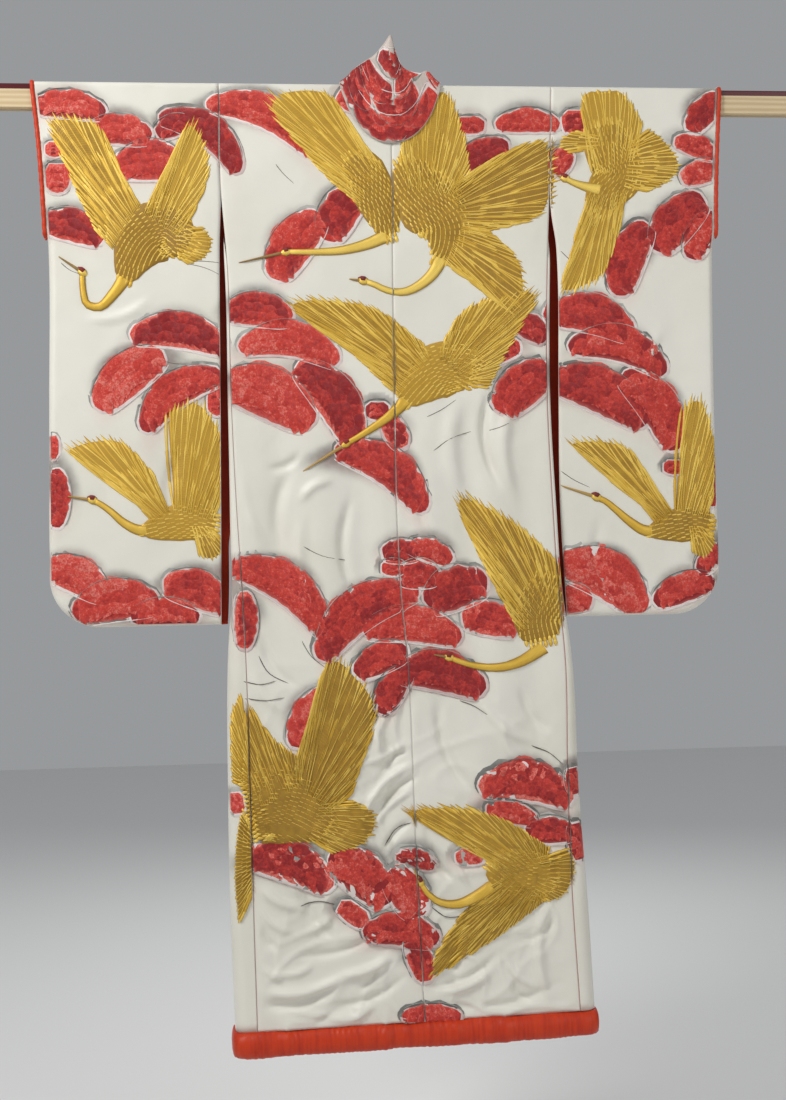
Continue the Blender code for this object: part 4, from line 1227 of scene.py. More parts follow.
def front_side(hand):
    def edge(drop):
        fold = outline[HAND_NAME[hand] + "_fold"](drop)
        seam = outline[HAND_NAME[hand] + "_seam"](drop)
        return np.where(drop < VENT_DROP, seam, fold - hand * np.minimum(np.abs(fold - seam), SIDE_ROUND_MOST))
    return edge


def panel_of(name, side, limits, out, foot, lifted):
    low, high = limits(np.linspace(0.001, foot, 60))
    return Panel(name, side, limits, out, foot, lifted, (low.min() - 0.002, high.max() + 0.002))


PANELS = []
for hand in (-1, 1):
    name = HAND_NAME[hand]
    for side, facing in ((-1, "back"), (1, "front")):
        edges = between(
            lambda drop, hand=hand: sleeve_limits(hand, drop)[0],
            lambda drop, hand=hand: sleeve_limits(hand, drop)[2] - hand * 0.003,
        )
        PANELS.append(panel_of(f"sleeve_{facing}_{name}", side, edges, sleeve_face(hand, side), SLEEVE_DROP - 0.004, False))
    PANELS.append(panel_of(f"back_{name}", -1, between(neck_edge(hand), side_seam(hand)), back_face, HEM_DROP, True))
    PANELS.append(panel_of(f"strip_{name}", -1, between(side_seam(hand), strip_edge(hand)), strip_face(hand), HEM_DROP, True))
    edges = between(front_edge(hand), front_side(hand))
    PANELS.append(panel_of(f"front_{name}", 1, edges, front_face(hand), HEM_DROP - 0.05, True))
print("panels:", [panel.name for panel in PANELS])

# %% The collar as a panel
COLLAR_EDGE = 0.0018
seam_line, free_line = np.array(seams, float), np.array(frees, float)
band_reach = np.concatenate([[0], np.cumsum(np.linalg.norm(np.diff((seam_line + free_line) / 2, axis=0), axis=1))])
band_width = np.linalg.norm(free_line - seam_line, axis=1)
band_way = np.gradient((seam_line + free_line) / 2, axis=0)
band_out = np.cross(band_way, free_line - seam_line)
band_out /= np.linalg.norm(band_out, axis=1)[:, None]
band_out *= -np.sign(band_out[len(band_out) // 2, 1])


def on_collar(along, up, lift):
    """Points on the band, from how far along it and how far up from its seam."""
    lines = (seam_line, free_line, band_out)
    seam, free, out = [np.stack([np.interp(along, band_reach, line[:, k]) for k in range(3)], -1) for line in lines]
    width = np.interp(along, band_reach, band_width)
    past = [up < COLLAR_EDGE, up > width - COLLAR_EDGE, along < COLLAR_EDGE, along > band_reach[-1] - COLLAR_EDGE]
    beyond = np.select(past, [1, 2, 3, 4], 0)
    share = (np.clip(up, COLLAR_EDGE, width - COLLAR_EDGE) / width)[..., None]
    return seam + (free - seam) * share + out * lift[..., None], beyond


widths = [round(float(width), 3) for width in (band_width.min(), band_width.max())]
print("collar:", round(float(band_reach[-1]), 3), "m long, and wide in m:", widths)

# %% [markdown]
# ## Threads
# Gold is couched for the cranes: a light thread for feathers and necks, and under them a dark
# gold ground, which is painted shade in the gaps between them. The pine tufts are worked in mottled red, with a pale
# rim below and an ash-grey one above. Beaks and twigs are grey-brown, and a crane's crown is deep red. Each patch
# keeps an attribute with the place along its stitches, the place across, and a tone of its own,
# so that the finish can run barbs out from a feather's quill, and paint shade on its edge and in its grooves.

# %% Gold thread
GOLD = (0.74, 0.455, 0.050)
GOLD_LIGHT = (0.95, 0.68, 0.140)
GOLD_PAINTED_SHADE = (0.20, 0.098, 0.010)
BARB_SPACING = 0.0026


def thread_parts(finish):
    """(along in metres, across from -1 to 1, tone) of a stitched patch."""
    parts = finish.attribute("thread", "Vector")
    return [finish.node("SeparateXYZ", None, {"Vector": parts}, k) for k in range(3)]


def gold_finish():
    gold = Finish("gold_thread", metallic=0.45, specular_ior_level=0.5)
    along, across, tone = thread_parts(gold)
    from_quill = across.maths("ABSOLUTE", across)
    barbs = along.maths("SINE", (along - from_quill * 0.004) * (2 * math.pi / BARB_SPACING)) * 0.5 + 0.5
    edge = gold.step(from_quill, 0.45, 1.0)
    place = gold.node("TexCoord", None, None, "Object")
    wear = gold.noise(place, 38.0, 3.0)
    body = gold.blend(gold.step(wear * 0.5 + tone * 0.6, 0.25, 0.85), GOLD, GOLD_LIGHT)
    # Painted shade: darker at a feather's edges and in the grooves between its barbs.
    shaded = gold.blend(edge * 0.70 + (1 - barbs) * 0.22, body, GOLD_PAINTED_SHADE)
    height = barbs * 0.35 + (1 - edge) * 0.65
    gold.feed(base_color=shaded, roughness=0.40 + 0.20 * wear, normal=gold.raised(height, 0.0006, 0.9))
    return gold.material


# %% Red, pale and dark threads
RED_THREAD = (0.62, 0.042, 0.026)
RED_THREAD_LIGHT = (0.80, 0.24, 0.19)
RED_THREAD_DEEP = (0.26, 0.007, 0.010)
NEEDLE_SPACING = 0.0030
PALE_THREAD = (0.78, 0.70, 0.66)
TWIG_THREAD = (0.17, 0.145, 0.115)


def red_thread_finish():
    """Pine needles worked as little fans. Each has a tone of its own and a paler rim."""
    red = Finish("red_thread", sheen_weight=0.2, sheen_roughness=0.4, specular_ior_level=0.4)
    along, out, tone = thread_parts(red)
    place = red.node("TexCoord", None, None, "Object")
    needles = along.maths("SINE", along * (2 * math.pi / NEEDLE_SPACING)) * 0.5 + 0.5
    uneven = red.noise(place, 150.0, 3.0)
    fine = red.noise(place, 360.0, 2.0)
    own = red.step(tone * 0.70 + uneven * 0.8 + fine * 0.4, 0.62, 1.15)
    ground = red.blend(own, RED_THREAD_DEEP, RED_THREAD)
    lit = red.blend(red.step(tone * 0.60 + uneven * 0.7 + fine * 0.7, 1.10, 1.50), ground, RED_THREAD_LIGHT)
    rim = red.step(out.maths("ABSOLUTE", out), 0.74, 0.99)
    colour = red.blend(rim * (0.10 + 0.60 * fine), lit, RED_THREAD_LIGHT)
    # Painted shade in the grooves between the needles.
    dark = red.blend((1 - needles) * 0.15, colour, RED_THREAD_DEEP)
    red.feed(base_color=dark, roughness=0.50 + 0.2 * uneven, normal=red.raised(needles * 0.6 + uneven * 0.6, 0.0007, 0.9))
    return red.material


def plain_thread_finish(name, colour, dark, roughness):
    plain = Finish(name, sheen_weight=0.2, sheen_roughness=0.4, specular_ior_level=0.4)
    along, across, tone = thread_parts(plain)
    place = plain.node("TexCoord", None, None, "Object")
    uneven = plain.noise(place, 60.0, 3.0)
    stitches = along.maths("SINE", along * (2 * math.pi / 0.0016)) * 0.5 + 0.5
    shade = plain.step(uneven * 0.7 + tone * 0.5 - stitches * 0.1, 0.25, 0.8)
    plain.feed(
        base_color=plain.blend(shade, dark, colour), roughness=roughness + 0.15 * uneven,
        normal=plain.raised(stitches, 0.0003, 0.8),
    )
    return plain.material


GOLD_THREAD, RED_NEEDLES = gold_finish(), red_thread_finish()
PALE_OUTLINE = plain_thread_finish("pale_thread", PALE_THREAD, (0.60, 0.46, 0.43), 0.45)
TWIGS = plain_thread_finish("twig_thread", TWIG_THREAD, (0.07, 0.06, 0.05), 0.6)
CROWN_RED = plain_thread_finish("crown_thread", (0.26, 0.020, 0.014), (0.10, 0.012, 0.010), 0.5)
ASH_OUTLINE = plain_thread_finish("ash_thread", (0.42, 0.41, 0.37), (0.15, 0.145, 0.13), 0.55)
# The dark gold ground is painted shade, in the gaps between feathers and between scales.
GOLD_SHADE = plain_thread_finish("gold_painted_shade", (0.46, 0.265, 0.024), (0.30, 0.160, 0.013), 0.50)
BILL_GOLD = plain_thread_finish("bill_thread", (0.46, 0.29, 0.080), (0.26, 0.16, 0.045), 0.45)
THREADS = [GOLD_THREAD, RED_NEEDLES, PALE_OUTLINE, TWIGS, CROWN_RED, ASH_OUTLINE, GOLD_SHADE, BILL_GOLD]
GOLD_SLOT, RED_SLOT, PALE_SLOT, TWIG_SLOT, CROWN_SLOT, ASH_SLOT, SHADE_SLOT, BILL_SLOT = range(8)
print("threads:", [thread.name for thread in THREADS])

# %% [markdown]
# ## A stitched patch
# Feather, neck, beak, tuft and twig are all one shape: a strip along a curved spine, with its
# own outline, that rises in the middle and goes down into the cloth at its edge. It starts as a
# grid, which is bent along the spine and set down on the panels that it reaches. Blender's mesh
# operators slow down as a mesh grows, so a panel's patches are made in several small meshes
# that are joined at the end.

# %% Patch helper
EDGE_SINK = 0.0004
BATCH_VERTS = 2500
WRINKLE_CLEARANCE = 0.0019
tone_dice = np.random.default_rng(11)
tuft_dice = np.random.default_rng(5)


class Batches:
    """A panel's patches, in several small meshes, since an operator slows down on a big one."""

    def __init__(self):
        self.full, self.bm, self.layer = [], None, None

    def current(self):
        if self.bm is None or len(self.bm.verts) > BATCH_VERTS:
            self.close()
            self.bm = bmesh.new()
            self.layer = self.bm.verts.layers.float_vector.new("thread")
        return self.bm, self.layer

    def close(self):
        if self.bm is not None:
            loose = [vert for vert in self.bm.verts if not vert.link_faces]
            bmesh.ops.delete(self.bm, geom=loose, context="VERTS")
            mesh = bpy.data.meshes.new("batch")
            self.bm.to_mesh(mesh)
            self.bm.free()
            self.full.append(mesh)
        self.bm = None

    def joined(self, name):
        self.close()
        whole = bmesh.new()
        whole.verts.layers.float_vector.new("thread")
        for mesh in self.full:
            whole.from_mesh(mesh)
            bpy.data.meshes.remove(mesh)
        mesh = bpy.data.meshes.new(name)
        whole.to_mesh(mesh)
        whole.free()
        return mesh


patches = {name: Batches() for name in [panel.name for panel in PANELS] + ["collar"]}


def along_curve(points, count):
    """Even places on a smooth curve through the points, as an array."""
    points = np.array(points, float)
    if len(points) == 2:
        return points[0] + (points[1] - points[0]) * np.linspace(0, 1, count)[:, None]
    reach = np.concatenate([[0], np.cumsum(np.linalg.norm(np.diff(points, axis=0), axis=1))])
    slopes = np.gradient(points, reach, axis=0)
    at = np.linspace(0, reach[-1], count)
    k = np.clip(np.searchsorted(reach, at, side="right") - 1, 0, len(points) - 2)
    span = (reach[k + 1] - reach[k])[:, None]
    t = (at[:, None] - reach[k][:, None]) / span
    start = (1 + 2 * t) * (1 - t) ** 2 * points[k] + t * (1 - t) ** 2 * span * slopes[k]
    return start + t * t * (3 - 2 * t) * points[k + 1] + t * t * (t - 1) * span * slopes[k + 1]


def lay_patch(spine, half_width, low, high, slot, columns=5, ends=True, cloth="back"):
    """Sets a strip down. spine is in pixels of the photograph, half_width in pixels, one for
    each point of it, and low and high are how far its edge and its ridge stand off the cloth."""
    count = len(spine)
    tangent = np.gradient(spine, axis=0)
    tangent /= np.linalg.norm(tangent, axis=1)[:, None] + 1e-9
    aside = np.column_stack([-tangent[:, 1], tangent[:, 0]])
    across = np.sin(np.linspace(-0.5, 0.5, columns) * math.pi)
    half_width = np.broadcast_to(half_width, (count,)) if np.ndim(half_width) < 2 else half_width
    widths = half_width[:, None] if half_width.ndim == 1 else half_width
    grid = spine[:, None, :] + aside[:, None, :] * (widths * across)[..., None]
    lift = low + (high - low) * (1 - across**2)[None, :] * np.ones((count, 1))
    lift[:, [0, -1]] = -EDGE_SINK
    if ends:
        lift[[0, -1]] = -EDGE_SINK
    length = np.concatenate([[0], np.cumsum(np.linalg.norm(np.diff(spine, axis=0), axis=1))]) * PIXEL
    stitch_on(cloth, grid, lift, length, across, slot)


def lay_grid(grid, lift, length, across, slot, cloth="back", own=None):
    """Sets down a grid that is not a strip, such as the ground of a wing or a fan of needles."""
    stitch_on(cloth, grid, lift, length, across, slot, own)


def stitch_on(cloth, grid, lift, length, across, slot, own=None):
    """Sets a patch down on the back, on the front turned over, or on the collar."""
    tone = tone_dice.random() if own is None else mix(own, tone_dice.random(), 0.45)
    if cloth == "collar":
        points, beyond = on_collar(grid[..., 0] * PIXEL, grid[..., 1] * PIXEL, lift)
        stitch(patches["collar"], points, beyond, 1, length, across, tone, slot)
        return
    x, drop = place_of(grid[..., 0], grid[..., 1])
    for panel in PANELS:
        if (panel.side < 0) == (cloth == "back"):
            set_down(panel, x if cloth == "back" else -x, drop, lift, length, across, tone, slot)


def place_of(px, py):
    """on_cloth for arrays of pixels."""
    right, up = px - PHOTO_WIDTH / 2, PHOTO_HEIGHT / 2 - py
    ray = [view_way[k] * FOCAL_PIXELS + view_right[k] * right + view_up[k] * up for k in range(3)]
    reach = (GARMENT_PLANE_Y - eye.y) / ray[1]
    return eye.x + ray[0] * reach, SHOULDER_Z - (eye.z + ray[2] * reach)


def set_down(panel, x, drop, lift, length, across, tone, slot):
    if x.max() < panel.reach[0] or x.min() > panel.reach[1] or drop.min() > panel.foot:
        return
    cut_drop = np.clip(drop, PANEL_TOP_DROP, panel.foot)
    cloth_drop = cut_drop + hem_lift(x, cut_drop) if panel.lifted else cut_drop
    low, high = panel.limits(cloth_drop)
    beyond = np.select([x < low, x > high, drop < PANEL_TOP_DROP, drop > panel.foot], [1, 2, 3, 4], 0)
    if beyond.all() or (high - low).max() <= 0:
        return
    x = np.clip(x, low, np.maximum(low, high))
    lift = np.where(lift > 0, lift + WRINKLE_CLEARANCE * ease((drop - 0.95) / 0.35), lift)
    out = panel.out(x, cloth_drop) + lift
    z = SHOULDER_Z - cut_drop
    z = np.where(cut_drop < SHOULDER_ROUND, z + lift * (SHOULDER_ROUND - cut_drop) / SHOULDER_ROUND, z)
    stitch(patches[panel.name], np.stack([x, panel.side * out, z], -1), beyond, panel.side, length, across, tone, slot)


def stitch(batches, points, beyond, side, length, across, tone, slot):
    """One patch as a grid, moved to its points. Faces that lie wholly beyond the cloth are cut."""
    bm, layer = batches.current()
    rows, columns = beyond.shape
    verts = bmesh.ops.create_grid(bm, x_segments=columns - 1, y_segments=rows - 1, size=1)["verts"]
    for vert, place, v in zip(verts, points.reshape(-1, 3), np.ndindex(rows, columns)):
        vert.co = place
        vert[layer] = (length[v[0]], across[v[1]], tone)
    outside = dict(zip(verts, beyond.reshape(-1)))
    lost = []
    for face in {face for vert in verts for face in vert.link_faces}:
        face.material_index = slot
        face.smooth = True
        if face.normal.y * side < 0:
            face.normal_flip()
        if all(outside[vert] for vert in face.verts):
            lost.append(face)
    if lost:
        bmesh.ops.delete(bm, geom=lost, context="FACES")


print("threads of", len(patches), "panels ready")

# %% [markdown]
# ## Pine tufts
# Pines stand for long life. Here they are stylised as cloud-like tufts with a scalloped upper
# edge. Each is three laid patches, ash under pale under red, which leave a light outline round
# it. Three rows of small fans of needles are worked over them, and a thin rim along both edges
# comes last. The tufts are named by centre, size, slope and how much their ends droop, as seen.

# %% Tufts, as seen
Tuft = namedtuple("Tuft", "px py length width slope droop")
TUFTS = [
    Tuft(68, 106, 66, 24, 5, 0.10), Tuft(120, 131, 55, 26, 5, 0.10), Tuft(150, 163, 60, 36, 0, 0.14),
    Tuft(172, 127, 30, 18, -20, 0.05), Tuft(205, 135, 85, 27, 35, 0.22), Tuft(54, 149, 15, 13, 0, 0.0),
    Tuft(57, 178, 22, 28, 0, 0.05), Tuft(72, 228, 58, 28, 15, 0.12), Tuft(180, 335, 86, 31, 8, 0.16),
    Tuft(128, 378, 75, 37, -40, 0.10), Tuft(178, 395, 85, 31, -35, 0.20), Tuft(217, 402, 16, 25, 0, 0.0),
    Tuft(57, 498, 52, 19, 90, 0.05), Tuft(75, 578, 62, 31, 25, 0.12), Tuft(115, 604, 75, 36, -8, 0.14),
    Tuft(165, 615, 60, 24, 0, 0.10), Tuft(197, 592, 60, 33, 20, 0.12), Tuft(52, 447, 10, 22, 0, 0.0),
    Tuft(265, 118, 105, 29, 25, 0.18), Tuft(342, 212, 56, 35, -60, 0.10), Tuft(295, 245, 70, 38, -55, 0.08),
    Tuft(470, 125, 26, 15, 0, 0.05), Tuft(528, 122, 56, 20, 0, 0.10), Tuft(482, 155, 50, 24, -25, 0.10),
    Tuft(531, 185, 18, 14, 0, 0.0), Tuft(558, 160, 18, 24, 0, 0.0), Tuft(258, 312, 60, 29, 5, 0.12),
    Tuft(290, 345, 88, 31, 8, 0.20), Tuft(268, 398, 90, 45, 25, 0.12), Tuft(332, 402, 90, 37, 55, 0.12),
    Tuft(377, 411, 20, 16, 0, 0.0), Tuft(394, 432, 32, 20, 60, 0.05), Tuft(385, 472, 95, 33, 35, 0.18),
    Tuft(530, 328, 36, 23, 30, 0.08), Tuft(500, 352, 36, 20, -20, 0.08), Tuft(523, 388, 60, 39, -40, 0.10),
    Tuft(283, 590, 105, 34, 35, 0.18), Tuft(245, 620, 50, 19, 90, 0.05), Tuft(400, 552, 32, 20, 0, 0.08),
    Tuft(430, 552, 40, 19, 20, 0.08), Tuft(418, 575, 34, 24, 0, 0.10), Tuft(392, 568, 18, 13, 0, 0.0),
    Tuft(362, 615, 106, 37, -35, 0.18), Tuft(455, 590, 56, 39, -20, 0.12), Tuft(412, 628, 86, 31, 5, 0.14),
    Tuft(490, 620, 50, 31, 10, 0.10), Tuft(380, 660, 50, 26, -25, 0.10), Tuft(392, 690, 45, 24, -60, 0.08),
    Tuft(440, 675, 80, 35, 12, 0.14), Tuft(308, 716, 58, 25, -60, 0.10), Tuft(290, 865, 80, 35, 20, 0.14),
    Tuft(360, 875, 66, 39, 40, 0.12), Tuft(525, 785, 82, 35, 8, 0.18), Tuft(510, 812, 46, 18, 15, 0.06),
    Tuft(548, 830, 42, 23, 0, 0.08), Tuft(405, 890, 48, 35, 60, 0.08), Tuft(400, 930, 66, 29, 5, 0.12),
    Tuft(418, 957, 40, 22, 70, 0.06), Tuft(430, 1012, 52, 16, 0, 0.06), Tuft(573, 780, 24, 16, 80, 0.0),
    Tuft(576, 840, 34, 17, 80, 0.0), Tuft(236, 802, 18, 14, 80, 0.0), Tuft(578, 122, 28, 23, 0, 0.06),
    Tuft(562, 162, 24, 18, -60, 0.0), Tuft(705, 112, 42, 23, -50, 0.06), Tuft(697, 147, 40, 18, 20, 0.06),
    Tuft(700, 173, 34, 21, -15, 0.06), Tuft(678, 222, 62, 37, -50, 0.10), Tuft(703, 235, 46, 25, -60, 0.06),
    Tuft(630, 258, 68, 33, -70, 0.10), Tuft(590, 318, 80, 33, 12, 0.18), Tuft(620, 350, 88, 31, 15, 0.20),
    Tuft(600, 395, 96, 39, 25, 0.12), Tuft(655, 408, 82, 35, 55, 0.14), Tuft(674, 467, 16, 12, 0, 0.0),
    Tuft(605, 580, 88, 42, 30, 0.18), Tuft(570, 600, 40, 26, 0, 0.08), Tuft(685, 590, 56, 25, -20, 0.10),
    Tuft(712, 558, 32, 18, -50, 0.0), Tuft(714, 480, 46, 14, 90, 0.0), Tuft(350, 100, 24, 18, 30, 0.0),
    Tuft(468, 855, 24, 14, 0, 0.05), Tuft(415, 858, 36, 16, 15, 0.10), Tuft(352, 912, 30, 18, 35, 0.05),
]

# %% Work the tufts
Layer = namedtuple("Layer", "grow px py low high slot")
TUFT_LAYERS = [
    Layer(4.9, -0.5, -1.0, 0.00008, 0.00020, "ash"),
    Layer(4.0, 0.5, 1.0, 0.00018, 0.00040, "pale"),
    Layer(1.6, 0.0, 0.0, 0.00042, 0.00090, "red"),
]
TUFT_SWELL = 1.10
FRONT_LOWEST_TUFT = 990
TUFT_SLOTS = {"ash": ASH_SLOT, "pale": PALE_SLOT, "red": RED_SLOT}
TUFT_COLUMNS = 9


def tuft_patch(tuft, layer, cloth="back"):
    """One layer of a tuft: round at both ends, with scallops along its upper edge."""
    long, tall = tuft.length * TUFT_SWELL / 2 + layer.grow, tuft.width * TUFT_SWELL / 2 + layer.grow
    count = max(7, int(long / (5.0 if cloth != "back" else 2.6)) | 1)
    s = np.sin(np.linspace(-0.5, 0.5, count) * math.pi)
    slope = math.radians(tuft.slope)
    droop = tuft.droop * tuft.length
    local = np.column_stack([s * long, droop * s**2 - droop / 3])
    turn = np.array([[math.cos(slope), math.sin(slope)], [-math.sin(slope), math.cos(slope)]])
    spine = local @ turn + (tuft.px + layer.px, tuft.py + layer.py)
    lobes = max(2, round(tuft.length / 13))
    scallop = np.abs(np.sin((s + 1) / 2 * math.pi * lobes))
    half = tall * np.maximum(1 - s**2, 0.0) ** 0.42
    upper = half * (0.86 + 0.16 * scallop)
    lower = half * (0.92 + 0.06 * np.roll(scallop, 2))
    across = np.sin(np.linspace(-0.5, 0.5, TUFT_COLUMNS) * math.pi)
    widths = np.where(across[None, :] < 0, upper[:, None], lower[:, None])
    lay_patch(spine, widths, layer.low, layer.high, TUFT_SLOTS[layer.slot], TUFT_COLUMNS, cloth=cloth)


RIM_HALF, RIM_REACH = 1.0, 0.93


def tuft_rims(tuft, cloth="back"):
    """A pale thread along the tuft's lower edge and a grey one along its upper edge."""
    slope = math.radians(tuft.slope)
    turn = np.array([[math.cos(slope), math.sin(slope)], [-math.sin(slope), math.cos(slope)]])
    s = np.linspace(-RIM_REACH, RIM_REACH, 9 if cloth != "back" else 15)
    half = tuft.width * TUFT_SWELL / 2 * (1 - s**2) ** 0.42
    arch = tuft.droop * tuft.length * (s**2 - 1 / 3)
    for way, slot, gap in ((1, PALE_SLOT, 2.2), (-1, ASH_SLOT, 3.2)):
        local = np.column_stack([s * (tuft.length * TUFT_SWELL / 2 + gap), arch + way * (half + gap)])
        thin = RIM_HALF * (0.55 + 0.45 * np.abs(np.sin(s * 7 + tuft.px))) * (1.0 if way > 0 else 0.8)
        lay_patch(local @ turn + (tuft.px, tuft.py), thin, 0.0016, 0.0021, slot, 3, cloth=cloth)


FAN_SPREAD = math.radians(108)
FAN_STEP = 10.5
FanRow = namedtuple("FanRow", "off extra radius rise")
FAN_ROWS = [FanRow(-0.20, 0, 0.40, 0.0006), FanRow(0.08, 1, 0.36, 0.0009), FanRow(0.34, 0, 0.30, 0.0012)]


def needle_fans(tuft, cloth="back"):
    """Fans of needles in three rows, each over the one above it, which give the tuft its edge."""
    slope = math.radians(tuft.slope)
    turn = np.array([[math.cos(slope), math.sin(slope)], [-math.sin(slope), math.cos(slope)]])
    angles = np.linspace(-FAN_SPREAD, FAN_SPREAD, 7 if cloth != "back" else 11)
    own = tuft_dice.random()
    shares = np.array([0.0, 0.35, 0.75, 1.0])
    for row in FAN_ROWS:
        number = max(1, round(tuft.length / FAN_STEP / (1.6 if cloth != "back" else 1.0)) - row.extra)
        for k in range(number):
            s = (k + 0.5 + 0.15 * math.sin(k * 5 + tuft.px)) / number * 2 - 1
            near_end = math.sqrt(max(0.0, 1 - s * s))
            radius = min(tuft.width * row.radius, tuft.length * 0.2) * (0.70 + 0.35 * near_end) * TUFT_SWELL
            radius *= 1 + 0.15 * math.sin(k * 2.7 + tuft.py)
            sag = tuft.droop * tuft.length * (s * s - 1 / 3)
            centre = np.array([s * (tuft.length * TUFT_SWELL / 2 - radius * 0.7), tuft.width * row.off * near_end + sag])
            lean = s * 0.55
            rays = np.stack([np.sin(angles + lean), -np.cos(angles + lean)], -1)
            local = centre + radius * shares[None, :, None] * rays[:, None, :]
            grid = local @ turn + (tuft.px, tuft.py)
            lift = np.repeat(row.rise + 0.0005 * (1 - (shares - 0.35) ** 2)[None, :], len(angles), axis=0)
            lift[:, -1] = row.rise - 0.0004
            lay_grid(grid, lift, angles * radius * PIXEL, shares, RED_SLOT, cloth, own)


COLLAR_TUFT_STEP, COLLAR_ROW_STEP = 43.0, 22.0
collar_tufts = []
for across_row in range(6):
    for k in range(int(band_reach[-1] / PIXEL / COLLAR_TUFT_STEP) + 1):
        sway = math.sin(k * 2.1 + across_row * 4.3)
        place = (k + 0.5 * (across_row % 2) + 0.12 * sway) * COLLAR_TUFT_STEP
        room = np.interp(place * PIXEL, band_reach, band_width) / PIXEL
        up = 12 + across_row * COLLAR_ROW_STEP + 3 * sway
        if up < room + 4:
            tall, slope = 25 + 3 * math.cos(k * 3.7), 14 * math.sin(k * 1.7 + across_row)
            collar_tufts.append(Tuft(place, up, 44 + 5 * sway, tall, slope, 0.10))
low_on_front = [tuft for tuft in TUFTS if tuft.py < FRONT_LOWEST_TUFT]
for cloth, tufts in (("back", TUFTS), ("front", low_on_front), ("collar", collar_tufts)):
    for layer in TUFT_LAYERS:
        for tuft in tufts:
            tuft_patch(tuft, layer, cloth)
    for tuft in tufts:
        needle_fans(tuft, cloth)
    for tuft in tufts:
        tuft_rims(tuft, cloth)
print("tufts:", len(TUFTS), "on the collar:", len(collar_tufts))
